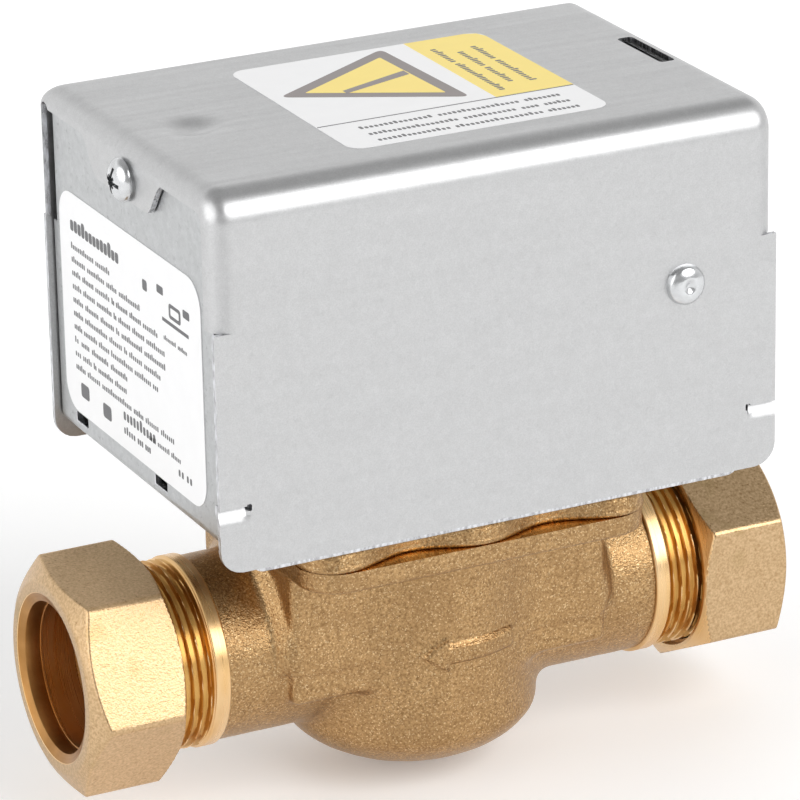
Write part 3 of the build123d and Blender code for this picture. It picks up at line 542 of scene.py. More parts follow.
def settle(points, rounds=4):
    """Moves points onto the casting's surface along the field's slope."""
    step = 0.02
    for _ in range(rounds):
        x, y, z = points.T
        here = casting_distance(x, y, z)
        slope = np.stack([
            casting_distance(x + step, y, z) - here,
            casting_distance(x, y + step, z) - here,
            casting_distance(x, y, z + step) - here,
        ], axis=1) / step
        size = np.maximum((slope ** 2).sum(1), 0.25)
        points = points - slope * (np.clip(here, -0.8, 0.8) / size)[:, None]
    return points


def rough_casting():
    """The body's plain shapes, joined by a fine remesh."""
    bm = bmesh.new()
    end = BAND_IN + 1.5
    lathe_solid(bm, [(-end, BARREL_R), (end, BARREL_R)], "X", MIDDLE)
    lathe_solid(bm, bowl_profile(BOWL_R, BOWL_STRAIGHT_LOW, DOME, FLANGE_TOP - 1), "Z", MIDDLE)
    prism(bm, rounded_rectangle(BODY_X - 25.4, BODY_X + 25.4, -15.3, 15.3, 1.2), -5.5, FLANGE_TOP - 1)
    low, high = -FLANGE_HALF, FLANGE_HALF
    prism(bm, rounded_rectangle(BODY_X + low, BODY_X + high, low, high, 6.0), 15.9, FLANGE_TOP + 1.5)
    obj = mesh_object("valve_body_casting", bm, [CAST, TURNED, MILLED])
    remesh = obj.modifiers.new("remesh", "REMESH")
    remesh.mode = "VOXEL"
    remesh.voxel_size = 0.38 * MM
    relax = obj.modifiers.new("relax", "SMOOTH")
    relax.factor = 0.5
    relax.iterations = 4
    apply_modifiers(obj)
    return obj


def shape_casting(obj):
    """Settles the skin onto the casting's field, with a little unevenness and the flow arrow."""
    count = len(obj.data.vertices)
    flat = np.zeros(count * 3)
    obj.data.vertices.foreach_get("co", flat)
    points = flat.reshape(-1, 3) / MM - (BODY_X, 0, 0)
    inside = (np.abs(points[:, 0]) < BAND_IN + 0.6) & (points[:, 2] < FLANGE_TOP + 0.5)
    points[inside] = settle(points[inside])
    for k in np.nonzero(inside)[0]:
        x, y, z = points[k]
        outward = Vector((0.0, y, z)).normalized() if abs(x) > 27 else Vector((x, y, z)).normalized()
        place = Vector((x, y, z))
        lift = 0.045 * noise.noise(place * 0.35) + 0.02 * noise.noise(place * 1.1) - 0.035
        if y < -12 and -9 < x < 11 and -6 < z < 5:
            lift += 0.7 * smooth_step(inside_depth(x, z, ARROW) / 0.5 + 0.5)
            outward = Vector((x, y, 0.0)).normalized()
        points[k] += np.array(outward) * lift
    obj.data.vertices.foreach_set("co", ((points + (BODY_X, 0, 0)) * MM).ravel())
    obj.data.update()


def casting():
    """The body's casting, cut where it is machined and hollowed inside."""
    obj = rough_casting()
    shape_casting(obj)
    top = bmesh.new()
    prism(top, rounded_rectangle(BODY_X - 40, BODY_X + 40, -40, 40, 1), FLANGE_TOP, FLANGE_TOP + 9)
    subtract(obj, top, MILLED, "MANIFOLD")
    bore = bmesh.new()
    half = [(SOCKET_DEPTH, 9.0), (SOCKET_DEPTH, BORE_R), (40, BORE_R)]
    lathe_solid(bore, [(-x, r) for x, r in half[::-1]] + half, "X", MIDDLE)
    # painted shade: the faces left by the bore take the darker bore brass
    subtract(obj, bore, SHADED_BORE, "MANIFOLD")
    for side in (-1, 1):
        end_cut = bmesh.new()
        x0, x1 = sorted((BODY_X + side * (BAND_IN - 0.05), BODY_X + side * 45))
        prism(end_cut, rounded_rectangle(x0, x1, -30, 30, 1), -30, 30)
        subtract(obj, end_cut, TURNED, "MANIFOLD")
    chamber = bmesh.new()
    wall = 1.6
    inner = bowl_profile(CHAMBER_R, BOWL_STRAIGHT_LOW + wall, DOME - wall, FLANGE_TOP + 2)
    lathe_solid(chamber, inner, "Z", MIDDLE)
    subtract(obj, chamber, CAST, "MANIFOLD")
    shade(obj, 40)
    return finish_piece(obj, "valve", "cast_brass", "valve_body")


def seat_nozzle():
    """The nozzle inside the chamber that the ball closes."""
    bm = bmesh.new()
    seat_x = 9.2
    points = [(seat_x, 5.0), (seat_x, 8.2), (seat_x + 0.4, 8.6), (16.2, 8.6), (16.2, 5.0)]
    lathe(bm, points, "X", MIDDLE)
    return finish_piece(mesh_object("seat_nozzle", bm, [TURNED]), "valve", "cast_brass", "valve_body")


def thread_radius(distance, angle, run_in, run_out):
    """The thread's radius at a distance along the spigot, for a single-start helix."""
    phase = (distance / THREAD_PITCH - angle / (2 * math.pi)) % 1.0
    ridge = min(1.0, max(0.0, 2.6 * abs(2 * phase - 1) - 1.5))
    fade = smooth_step(min(distance / run_in, (SPIGOT_HALF - BAND_OUT - distance) / run_out))
    return THREAD_R - THREAD_DEPTH * (1 - ridge) * fade


CREST, SHADED_ROOT, SOCKET = 0, 1, 2


def machined_end(name, side):
    """One band, threaded spigot and tube socket, turned from the casting's end."""
    bm = bmesh.new()
    segments = 128
    length = SPIGOT_HALF - BAND_OUT
    outer = [(BAND_IN, BARREL_R - 0.5), (BAND_IN, BAND_R - 0.15), (BAND_IN + 0.15, BAND_R)]
    outer += [(BAND_IN + 0.3, BAND_R), (BAND_OUT - 0.3, BAND_R), (BAND_OUT - 0.15, BAND_R)]
    outer += [(BAND_OUT, BAND_R - 0.15), (BAND_OUT + 0.02, THREAD_R)]
    steps = 130
    threaded = [(BAND_OUT + length * k / steps, None) for k in range(1, steps + 1)]
    inner = [(SPIGOT_HALF, 12.5), (SPIGOT_HALF - 1.4, BORE_R), (SOCKET_DEPTH, BORE_R)]
    inner += [(SOCKET_DEPTH, SEAL_R), (BAND_IN, SEAL_R)]
    rows = []
    for along, radius in outer + threaded + inner:
        row = []
        for k in range(segments):
            a = 2 * math.pi * k / segments
            r = radius or thread_radius(along - BAND_OUT, a, RUN_IN, RUN_OUT)
            row.append(bm.verts.new((BODY_X + side * along, r * math.cos(a), side * r * math.sin(a))))
        rows.append(row)
    grid_faces(bm, rows, close_rows=True, close_columns=True)
    bm.faces.ensure_lookup_table()
    # painted shade: the socket and the thread's roots deeper than CREST_DEPTH take the darker brass; the
    # crests stay turned brass
    for i in range(len(rows)):
        for k in range(segments):
            if i >= len(outer) + steps:
                bm.faces[i * segments + k].material_index = SOCKET
            elif i >= len(outer) - 1:
                distance = length * (i - len(outer) + 1.5) / steps
                turn = 2 * math.pi * (k + 0.5) / segments
                depth = THREAD_R - thread_radius(distance, turn, RUN_IN, RUN_OUT)
                bm.faces[i * segments + k].material_index = SHADED_ROOT if depth > CREST_DEPTH else CREST
    obj = mesh_object(name, bm, [TURNED, SHADED_THREAD_BRASS, SHADED_BORE], 50)
    return finish_piece(obj, "valve", "cast_brass", "valve_body")


def offset_outline(points, inset):
    """A closed outline moved inwards along its own normals."""
    moved = []
    count = len(points)
    for i in range(count):
        before, after = Vector(points[i - 1]), Vector(points[(i + 1) % count])
        along = (after - before).normalized()
        moved.append((points[i][0] - along.y * inset, points[i][1] + along.x * inset))
    return moved


def wavy_outline():
    """The bonnet's edge: a lobe at each corner and one in the middle of each side."""
    side = []
    steps = 48
    mean, swing = FLANGE_HALF - 1.45, 1.45
    for k in range(steps + 1):
        x = -LOBE_AT + 2 * LOBE_AT * k / steps
        side.append((x, -mean - swing * math.cos(2 * math.pi * x / LOBE_AT)))
    for k in range(1, 12):
        a = math.radians(-90 + 90 * k / 12)
        side.append((LOBE_AT + LOBE_R * math.cos(a), -LOBE_AT + LOBE_R * math.sin(a)))
    points = []
    for quarter in range(4):
        c, s = round(math.cos(quarter * math.pi / 2)), round(math.sin(quarter * math.pi / 2))
        points += [(c * x - s * y, s * x + c * y) for x, y in side]
    return [(BODY_X + x, y) for x, y in points]


def bonnet():
    """The bonnet plate: a cast wavy edge with a rolled top and a thin parting line below."""
    stem_x, stem_y, _ = middle_of("valve_stem")
    bm = bmesh.new()
    low, high = FLANGE_TOP + 0.02, BONNET_TOP
    profile = [(0.55, low), (0.18, low + 0.08), (0.02, low + 0.3), (0.0, low + 0.65), (0.10, low + 0.85)]
    profile += [(0.16, low + 1.1), (0.16, high - 1.5), (0.35, high - 0.9), (0.85, high - 0.35), (1.6, high)]
    outline = wavy_outline()
    rings = []
    for inset, z in profile:
        rings.append([bm.verts.new((x, y, z)) for x, y in offset_outline(outline, inset)])
    grid_faces(bm, rings, close_columns=True)
    bm.faces.new(rings[0][::-1])
    bm.faces.new(rings[-1])
    obj = mesh_object("bonnet_casting", bm, [CAST, TURNED], 45)
    finish_piece(obj, "valve", "cast_brass", "bonnet_plate")
    collar = bmesh.new()
    inner = 3.1
    upper = [(high, inner), (high, 6.0), (24.8, 6.0), (25.0, 5.8), (25.0, inner)]
    lathe(collar, upper, "Z", (stem_x, stem_y, 0), 64)
    lower = [(12.5, inner), (12.5, 5.2), (low, 5.2), (low, inner)]
    lathe(collar, lower, "Z", (stem_x, stem_y, 0), 64)
    collar_obj = mesh_object("bonnet_collar", collar, [TURNED])
    finish_piece(collar_obj, "valve", "cast_brass", "bonnet_plate")


# ---------------------------------------------------------------- compression nuts
FORGED_INDEX, TURNED_INDEX, SHADED_BORE_INDEX = 0, 1, 2
NUT_MOUTH, NUT_CONE, NUT_CORNER = 0.7, 0.5, 0.55


def soft_minimum(a, b, blend):
    """The lower of two values, rounded off where they meet."""
    mixed = max(0.0, min(1.0, 0.5 + 0.5 * (b - a) / blend))
    return b * (1 - mixed) + a * mixed - blend * mixed * (1 - mixed)


def nut_rings(length):
    """A nut's section, round from its port: (depth, radius, finish). The hexagon has no radius."""
    fine = [0.0, 0.08, 0.2, 0.35, 0.5, 0.65, 0.8, 0.95, 1.1, 1.25, 1.4, 1.55, 1.7, 1.85, 2.0]
    fine += [2.2, 2.5, 3.0]
    plain = [4.2, 5.6, 7.2, 8.8, 10.2, 11.2]
    back = [length - 0.06] + [length - d for d in fine[2:]]
    outer = fine[1:] + plain + sorted(back) + [length - 0.01]
    rings = [(0.0, 12.5, FORGED_INDEX), (0.0, 12.9, FORGED_INDEX), (0.0, 13.7, FORGED_INDEX)]
    rings += [(0.02, 13.93, FORGED_INDEX)] + [(x, None, FORGED_INDEX) for x in outer]
    relief, thread_r, lip_r = 14.5, 13.95, BORE_R - 0.16
    inner = [(length, 14.9), (length, relief + 0.05), (length - 0.1, relief), (length - 1.6, relief)]
    inner += [(length - 1.6, thread_r), (NUT_MOUTH + 4.8, thread_r), (NUT_MOUTH + 2.62, lip_r)]
    inner += [(NUT_MOUTH + 2.34, lip_r), (NUT_MOUTH + 2.3, BORE_R)]
    inner += [(NUT_MOUTH + 0.05, BORE_R), (NUT_MOUTH - 0.05, BORE_R + 0.05)]
    return rings + [(x, r, TURNED_INDEX) for x, r in inner + [(0.06, 12.42)]]


def nut(name, node, side, corner_turn):
    """A hexagon nut from its port: a ring face, coned corners, granular flats and a machined back."""
    low, high = box_mm(node)
    length = high.x - low.x
    face_x = low.x if side < 0 else high.x
    half_flats, ring_r, back_r = 15.4, 14.0, 15.0
    rings = nut_rings(length)
    bm = bmesh.new()
    segments = 360
    rows = []
    for x, radius, _ in rings:
        row = []
        for k in range(segments):
            degrees = 360 * k / segments
            r = radius
            if radius is None:
                hexagon = hexagon_radius(degrees - corner_turn, half_flats)
                front = ring_r + x / NUT_CONE
                rear = back_r + (length - x) / NUT_CONE
                r = soft_minimum(soft_minimum(hexagon, front, 0.32), rear, 0.05)
            a = math.radians(degrees)
            row.append(bm.verts.new((face_x - side * x, r * math.cos(a), r * math.sin(a))))
        rows.append(row)
    grid_faces(bm, rows, close_rows=True, close_columns=True)
    bm.faces.ensure_lookup_table()
    for i, (x, radius, picked) in enumerate(rings):
        last = rings[(i + 1) % len(rings)]
        for k in range(segments):
            face = bm.faces[i * segments + k]
            face.material_index = TURNED_INDEX if TURNED_INDEX in (picked, last[2]) else FORGED_INDEX
            # painted shade: the nut's threaded inside takes the darker bore brass
            if radius is not None and 0.3 < x < length - 1.0 and radius > BORE_R - 0.1:
                face.material_index = SHADED_BORE_INDEX
            if radius is None and x > length - 2.2:
                a = 2 * math.pi * k / segments
                flats = hexagon_radius(math.degrees(a) - corner_turn, half_flats)
                if back_r + (length - x) / NUT_CONE < flats + 0.1:
                    face.material_index = TURNED_INDEX
    obj = mesh_object(name, bm, [FORGED, TURNED, SHADED_BORE], 38)
    return finish_piece(obj, node, "nut_brass", node)


def hexagon_radius(degrees, half_flats):
    """The radius of a hexagon with softened corners. Its corners lie at 0, 60, 120 degrees."""
    nearest = []
    for k in range(6):
        away = math.cos(math.radians(degrees - 30 - 60 * k))
        if away > 0.2:
            nearest.append(half_flats / away)
    nearest.sort()
    return soft_minimum(nearest[0], nearest[1], NUT_CORNER)


# ---------------------------------------------------------------- sheet metal
def ticks(low, high, step, *marks):
    """Grid lines between two limits, with extra lines at the marks."""
    count = max(1, round((high - low) / step))
    lines = {round(low + (high - low) * k / count, 4) for k in range(count + 1)}
    lines |= {round(m, 4) for m in marks if low <= m <= high}
    ordered = sorted(lines)
    kept = [ordered[0]]
    for value in ordered[1:]:
        if value - kept[-1] > 0.08 or value in marks:
            kept.append(value)
    return kept


DIMPLE = (-32.8, 0.2)
DIMPLE_R, DIMPLE_DEPTH = 5.0, 0.85
# each catch: its sharp upper edge, and how far in from the case's end
CRIMP_Z, CATCH_IN = 33.4, 4.6
TAB_FRONT, TAB_BACK, TAB_LOW = -13.6, 14.6, 70.0
CASE_X, CASE_Y = case_high.x - HEAD_X, case_high.y
CASE_TOP, CASE_LOW = case_high.z, case_low.z
QUARTER = [math.radians(90 * k / 10) for k in range(11)]


def top_relief(x, y):
    """The shallow round mark pressed into the case's top, from the head's middle."""
    distance = math.hypot(x - DIMPLE[0], y - DIMPLE[1])
    share = distance / DIMPLE_R
    return -DIMPLE_DEPTH * smooth_step(1.35 - share) * smooth_step(1.0 - share / 1.3)


def wall_relief(x, z):
    """The pressed catch near each end of the front: a sharp step above, fading below."""
    inward = (abs(x) - (CASE_X - CATCH_IN)) / 0.5
    if z > CRIMP_Z + 0.001:
        return 0.0
    return 0.85 * smooth_step(inward) * smooth_step(1 - (CRIMP_Z - z) / 2.6)


def case_section(ys):
    """The sheet from the front over the top to the back: (y, z, degrees of its outward side)."""
    def half(radius):
        points = [(-CASE_Y, z, 180.0) for z in ticks(WRAP_LOW, CASE_TOP - radius, 4.0)]
        for a in QUARTER[1:-1]:
            y = -CASE_Y + radius * (1 - math.cos(a))
            points.append((y, CASE_TOP - radius * (1 - math.sin(a)), 180.0 - math.degrees(a)))
        return points

    section = half(FRONT_R) + [(y, CASE_TOP, 90.0) for y in ys]
    return section + [(-y, z, 180.0 - n) for y, z, n in half(BEND_R)[::-1]]


def case_wrap(bm, xs):
    """The case above WRAP_LOW, with its lips. Returns the left lip's edge, where the tab is."""
    flat_x = CASE_X - BEND_R
    # columns: (flat x, turn of the lip in radians)
    columns = [(-flat_x, a) for a in QUARTER[:0:-1]] + [(x, 0.0) for x in xs]
    columns += [(flat_x, a) for a in QUARTER[1:]]
    marks = [DIMPLE[1] + 0.55 * k for k in range(-12, 13)] + [-13.8 + 0.42 * k for k in range(15)]
    marks += [9.2 + 0.42 * k for k in range(14)]
    ys = ticks(-CASE_Y + FRONT_R, CASE_Y - BEND_R, 2.0, *marks)
    tight = 0.9
    rows, tab = [], []
    for y, z, degrees in case_section(ys):
        outward = Vector((0, math.cos(math.radians(degrees)), math.sin(math.radians(degrees))))
        row = []
        lip = BEND_R + (tight - BEND_R) * smooth_step((90.0 - degrees) / 90.0)
        for x, turn in columns:
            end = -1 if x < 0 else 1
            sink = lip * (1 - math.cos(turn))
            reach = end * (CASE_X - lip + lip * math.sin(turn)) if turn else x
            place = Vector((HEAD_X + reach, y, z)) - outward * sink
            if degrees == 90.0 and turn == 0.0:
                place.z += top_relief(x, y)
            row.append(bm.verts.new(place))
        rows.append(row)
        if degrees == 90.0 and TAB_FRONT <= y <= TAB_BACK:
            tab.append(row[0])
    grid_faces(bm, rows)
    return tab


def case_tab(bm, edge):
    """The tab that turns on down over the left end plate, its sides drawn in by an S."""
    lip_low, swing, steps = CASE_TOP - BEND_R, 5.6, 8
    hems = []
    for step in range(steps + 1):
        line = []
        for v in edge:
            y = v.co.y
            front = smooth_step((y - TAB_FRONT) / swing)
            back = smooth_step((y - TAB_BACK + swing) / swing)
            hem = TAB_LOW + (lip_low - TAB_LOW) * max(1 - front, back)
            line.append(bm.verts.new((HEAD_X - CASE_X, y, lip_low + (hem - lip_low) * step / steps)))
        hems.append(line)
    grid_faces(bm, hems)


def case_wall(bm, side, xs):
    """A lower wall, out to the ends, with rounded bottom corners and the front's catches."""
    corner = 3.4
    lows = ticks(CASE_LOW, CASE_LOW + corner, 0.7)
    fine = [CRIMP_Z - 0.4 * k for k in range(9)]
    heights = ticks(CASE_LOW + corner, WRAP_LOW, 3.0, CRIMP_Z + 0.02, *fine)
    outer_x = [-CASE_X + d for d in (0.0, 0.1, 0.35, 0.8, 1.4, 2.2)]
    wall = []
    for z in lows[:-1] + heights:
        row = []
        for x in outer_x + xs + [-x for x in outer_x[::-1]]:
            into = max(0.0, abs(x) - (CASE_X - corner))
            lift = corner - math.sqrt(max(0.0, corner ** 2 - into ** 2))
            height = z
            if z < CASE_LOW + corner:
                height = CASE_LOW + lift + (z - CASE_LOW) * (corner - lift) / corner
            inward = wall_relief(x, z) if side < 0 else 0.0
            row.append(bm.verts.new((HEAD_X + x, side * (CASE_Y - inward), height)))
        wall.append(row)
    grid_faces(bm, wall)


def case():
    """The case: one sheet bent over the top, wider at the front, with its upper ends turned in by
    a quarter round. The turn is full size along the front and the top, and tighter down the back."""
    flat_x = CASE_X - BEND_R
    catch = [end * (CASE_X - d) for end in (-1, 1) for d in (4.1, CATCH_IN, 5.0)]
    xs = ticks(-flat_x, flat_x, 2.0, *catch, *[DIMPLE[0] + 0.55 * k for k in range(-11, 13)])
    bm = bmesh.new()
    case_tab(bm, case_wrap(bm, xs))
    for side in (-1, 1):
        case_wall(bm, side, xs)
    bmesh.ops.remove_doubles(bm, verts=bm.verts, dist=0.002)
    obj = mesh_object("case_sheet", bm, [ZINC, SHEARED], 40)
    thick = obj.modifiers.new("thick", "SOLIDIFY")
    thick.thickness = SHEET * MM
    thick.offset = -1.0
    thick.use_even_offset = False
    thick.use_rim = True
    thick.material_offset_rim = 1
    apply_modifiers(obj)
    cutter = bmesh.new()
    slot = rounded_rectangle(HEAD_X + 38.2, HEAD_X + 40.7, -6.0, 7.3, 0.7)
    prism(cutter, slot, CASE_TOP - 3, CASE_TOP + 3)
    for side in (-1, 1):
        x0, x1 = sorted((HEAD_X + side * (CASE_X - 4.05), HEAD_X + side * (CASE_X - 4.85)))
        notch = rounded_rectangle(x0, x1, CRIMP_Z - 0.75, CRIMP_Z + 0.3, 0.25, 3)
        prism(cutter, notch, -CASE_Y - 1, -CASE_Y + 2, axis="Y")
    subtract(obj, cutter, SHEARED)
    shade(obj, 34)
    return finish_piece(obj, "case", "galvanised", "cover")


def rounded_path(points, radius, steps=6):
    """An open path of straight runs with each corner rounded by an arc."""
    path = [Vector(points[0])]
    for before, corner, after in zip(points, points[1:], points[2:]):
        corner = Vector(corner)
        into = (corner - Vector(before)).normalized()
        out = (Vector(after) - corner).normalized()
        half_turn = into.angle(out) / 2
        back = radius * math.tan(half_turn)
        start, end = corner - into * back, corner + out * back
        for k in range(steps + 1):
            t = k / steps
            near = start.lerp(corner, t)
            path.append(near.lerp(corner.lerp(end, t), t))
    path.append(Vector(points[-1]))
    return path


def chassis():
    """The bent base sheet: bottom, sloped shoulders and two upright end plates."""
    thick = 1.0
    end = chassis_high.x - HEAD_X
    flat, bend_z, top = 37.4, 28.0, chassis_high.z
    low = chassis_low.z
    centre = [(-end + thick / 2, top), (-end + thick / 2, bend_z), (-flat + 0.2, low + thick / 2)]
    centre += [(flat - 0.2, low + thick / 2), (end - thick / 2, bend_z), (end - thick / 2, top)]
    path = rounded_path(centre, 1.6)
    outer, inner = [], []
    for i, point in enumerate(path):
        before, after = path[max(0, i - 1)], path[min(len(path) - 1, i + 1)]
        along = (after - before).normalized()
        normal = Vector((along.y, -along.x)) * (thick / 2)
        outer.append((HEAD_X + point.x - normal.x, point.y - normal.y))
        inner.append((HEAD_X + point.x + normal.x, point.y + normal.y))
    half_y = chassis_high.y
    bm = bmesh.new()
    prism(bm, outer + inner[::-1], -half_y, half_y, axis="Y")
    for face in bm.faces:
        if len(face.verts) > 4:
            face.material_index = 1
    obj = mesh_object("chassis_sheet", bm, [ZINC_CHASSIS, SHEARED], 30)
    cutter = bmesh.new()
    ends_y = 27.2
    left, right = HEAD_X - end, HEAD_X + end
    for x0, x1 in ((left - 1, left + 2), (right - 2, right + 1)):
        prism(cutter, rounded_rectangle(x0, x1, ends_y, 31, 0.2, 2), WRAP_LOW - 0.6, top + 1)
        prism(cutter, rounded_rectangle(x0, x1, -31, -ends_y, 0.2, 2), WRAP_LOW - 0.6, top + 1)
    for y0 in (-9.5, 18.7):
        prism(cutter, rounded_rectangle(left - 1, left + 2, y0, y0 + 4.2, 0.1, 1), 28.9, 30.3)
    for x, y, r in chassis_holes():
        lathe_solid(cutter, [(low - 1, r), (low + 2.5, r)], "Z", (x, y, 0), 40)
    _, screw_y, screw_z = middle_of("cover_screw")
    lathe_solid(cutter, [(-1, 2.0), (2, 2.0)], "X", (left, screw_y, screw_z), 32)
    _, hole_y, hole_z = middle_of("cable_grommet")
    lathe_solid(cutter, [(-2, 6.0), (1, 6.0)], "X", (right, hole_y, hole_z), 48)
    lever_low, lever_high = box_mm("manual_lever")
    lever_y, half_slot = 8.5, 5.9
    y0, y1 = lever_y - half_slot, lever_y + half_slot
    slot = rounded_rectangle(y0, y1, lever_low.z - 0.7, lever_high.z + 0.7, 0.6, 4)
    prism(cutter, slot, right - 2, right + 1, axis="X")
    subtract(obj, cutter, SHEARED)
    bevel(obj, 0.09, 1, 50)
    shade(obj, 30)
    return finish_piece(obj, "valve", "galvanised", "base_plate")


def chassis_holes():
    """Every hole in the chassis floor: (x, y, radius)."""
    lobes = [(BODY_X + i * LOBE_AT, j * LOBE_AT, 4.2) for i in (-1, 1) for j in (-1, 1)]
    stem_x, stem_y, _ = middle_of("valve_stem")
    return lobes + [(stem_x, stem_y, 6.3), (BODY_X, -22.5, 2.1), (BODY_X, 22.5, 2.1)]


casting()
seat_nozzle()
machined_end("port_a_spigot", -1)
machined_end("port_b_spigot", 1)
bonnet()
nut("left_nut_forging", "left_nut", -1, 7.1)
nut("right_nut_forging", "right_nut", 1, 33.6)
case()
chassis()


# ---------------------------------------------------------------- fastenings on the case
def pan_head(name, node, body, slot_name):
    """A domed screw head facing left, undercut at its seat, with a cross recess and shorter slots."""
    low, high = box_mm(node)
    _, y, z = middle_of(node)
    seat = case_low.x - 0.02
    head_r = (high.y - low.y) / 2
    height = seat - low.x
    dome = []
    steps = 14
    for k in range(steps + 1):
        a = math.radians(90 * k / steps)
        r = head_r * max(0.006, math.sin(a)) if k else 0.02
        dome.append((-height * (0.18 + 0.82 * math.cos(a)), r))
    rim = [(-0.42, head_r), (-0.34, head_r - 0.12), (-0.34, head_r - 0.5), (0.0, head_r - 0.5)]
    points = dome[:-1] + rim + [(0.0, 1.6), (5.2, 1.6), (5.4, 1.3), (5.4, 0.02)]
    bm = bmesh.new()
    lathe_solid(bm, points, "X", (seat, y, z), 64)
    obj = mesh_object(name, bm, [SCREW], 40)
    cross, star = (2.0, 0.30, 1.5), (1.1, 0.26, 1.0)
    for turn, (long, wide, deep) in ((12, cross), (102, cross), (57, star), (147, star)):
        cutter = bmesh.new()
        slot = [(-long, -wide), (long, -wide), (long, wide), (-long, wide)]
        prism(cutter, slot, -height - 1, -height + deep)
        place = Matrix.Translation((seat, y, z)) @ Matrix.Rotation(math.radians(turn), 4, "X")
        flip = Matrix(((0, 0, 1, 0), (1, 0, 0, 0), (0, 1, 0, 0), (0, 0, 0, 1)))
        bmesh.ops.transform(cutter, matrix=place @ flip, verts=cutter.verts)
        subtract(obj, cutter, SCREW)
    shade(obj, 35)
    return finish_piece(obj, body, slot_name, node)


def stud():
    """The domed stud in the front, with a shallow dimple in its middle."""
    low, high = box_mm("cover_stud")
    x, _, z = middle_of("cover_stud")
    face = case_low.y
    height = face - low.y
    radius = (high.x - low.x) / 2
    points = []
    steps = 20
    for k in range(steps + 1):
        r = radius * (1 - k / steps)
        dome = height * math.sqrt(max(0.0, 1 - (r / radius) ** 2)) ** 0.75
        dent = 0.55 * smooth_step(1 - r / 1.35)
        points.append((-dome + dent, max(r, 0.02)))
    bm = bmesh.new()
    lathe_solid(bm, [(2.4, 0.02), (2.4, 1.6), (0.0, 1.6), (0.0, radius)] + points, "X", (0, 0, 0), 64)
    turn = Matrix.Translation((x, face, z)) @ Matrix.Rotation(math.radians(90), 4, "Z")
    bmesh.ops.transform(bm, matrix=turn, verts=bm.verts)
    return finish_piece(mesh_object("case_stud", bm, [SCREW], 50), "case", "screw_steel", "cover_stud")


pan_head("case_screw_head", "cover_screw", "case_screw", "screw_steel")
stud()


# ---------------------------------------------------------------- labels
def flat_patch(bm, outline, place, material, thickness):
    """A thin printed patch. place maps (across, up) on the label to the part's frame."""
    low = [bm.verts.new(place(a, b, 0.0)) for a, b in outline]
    high = [bm.verts.new(place(a, b, thickness)) for a, b in outline]
    for k in range(len(outline)):
        j = (k + 1) % len(outline)
        bm.faces.new((low[k], low[j], high[j], high[k])).material_index = material
    bm.faces.new(high).material_index = material
    bm.faces.new(low[::-1]).material_index = material


def bar(x0, x1, y, height):
    return rounded_rectangle(x0, x1, y - height / 2, y + height / 2, height * 0.2, 2)


def text_line(bm, place, start, end, at, height, words, material, thickness):
    """A line of print, stood for by groups of plain strokes as wide as words."""
    gap = 0.55
    total = sum(words) + (len(words) - 1) * gap
    scale = (end - start) / total
    position = start
    for word in words:
        width = word * scale
        pitch = height * 0.60
        strokes = max(1, round(width / pitch))
        for k in range(strokes):
            left = position + width * k / strokes
            stroke = 0.34 if height < 2 else 0.42
            tall = height * (0.78, 0.66, 0.70, 0.98, 0.66, 0.74, 0.68)[(k * 5 + int(word * 3)) % 7]
            middle = at - height * 0.5 + tall * 0.5
            patch = bar(left, left + pitch * 2 * stroke, middle, tall)
            flat_patch(bm, patch, place, material, thickness)
        position += width + gap * scale


def top_label():
    low, high = box_mm("top_label")
    thick = 0.07
    base = case_high.z

    def place(a, b, up):
        return (HEAD_X + a, b, base + up)

    x0, x1, y0, y1 = low.x - HEAD_X, high.x - HEAD_X, low.y, high.y
    bm = bmesh.new()
    flat_patch(bm, rounded_rectangle(x0, x1, y0, y1, 2.4), place, 0, thick)
    ink = thick + 0.012
    divide_x, divide_y = 10.0, -9.3
    # yellow field with three lines of print
    field = [(divide_x, divide_y), (x1 - 0.02, divide_y), (x1 - 0.02, y1 - 2.4), (x1 - 0.7, y1 - 0.7)]
    field += [(x1 - 2.4, y1 - 0.02), (divide_x, y1 - 0.02)]
    flat_patch(bm, field, place, 1, ink)
    fine = ink + 0.008
    # a yellow triangle with a wide border, and a plain slanted bar in it
    corners = [Vector((-16.7, 5.9)), Vector((5.9, 19.5)), Vector((7.0, -7.1))]
    middle = sum(corners, Vector((0, 0))) / 3
    outline = rounded_triangle(corners, 1.1)
    flat_patch(bm, outline, place, 3, ink)
    inner = [middle + (c - middle) * 0.74 for c in corners]
    flat_patch(bm, rounded_triangle(inner, 0.25), place, 1, fine)
    mark = [(-7.6, 4.2), (4.2, 8.6), (4.2, 6.7), (-7.6, 2.8)]
    flat_patch(bm, mark[::-1], place, 3, fine + 0.008)
    for at, words in ((-12.3, (8, 9, 4)), (-15.3, (10, 6, 2, 3)), (-18.2, (9, 11, 4))):
        text_line(bm, place, -13.0, 18.5, at, 1.25, words, 2, ink)
    flat_patch(bm, bar(x0 + 0.1, x1 - 0.1, divide_y, 0.28), place, 2, fine)

    def turned(a, b, up):
        return place(b, a, up)

    lines = ((12.6, (10, 5), -6.5, 16), (15.5, (6, 6), -3.5, 13), (18.4, (8, 5), -4.5, 14.5))
    for at, words, start, end in lines:
        text_line(bm, turned, start, end, at, 1.3, words, 2, fine)
    obj = mesh_object("top_label_print", bm, [LABEL, YELLOW, INK, GREY_INK], 30)
    return finish_piece(obj, "case", "label_silver", "top_label")


def rounded_triangle(corners, radius, steps=6):
    points = []
    for i in range(3):
        corner, before, after = corners[i], corners[i - 1], corners[(i + 1) % 3]
        into, out = (corner - before).normalized(), (after - corner).normalized()
        start, end = corner - into * radius * 1.5, corner + out * radius * 1.5
        for k in range(steps + 1):
            t = k / steps
            points.append(tuple(start.lerp(corner, t).lerp(corner.lerp(end, t), t)))
    area = sum(a[0] * b[1] - b[0] * a[1] for a, b in zip(points, points[1:] + points[:1]))
    return points if area > 0 else points[::-1]


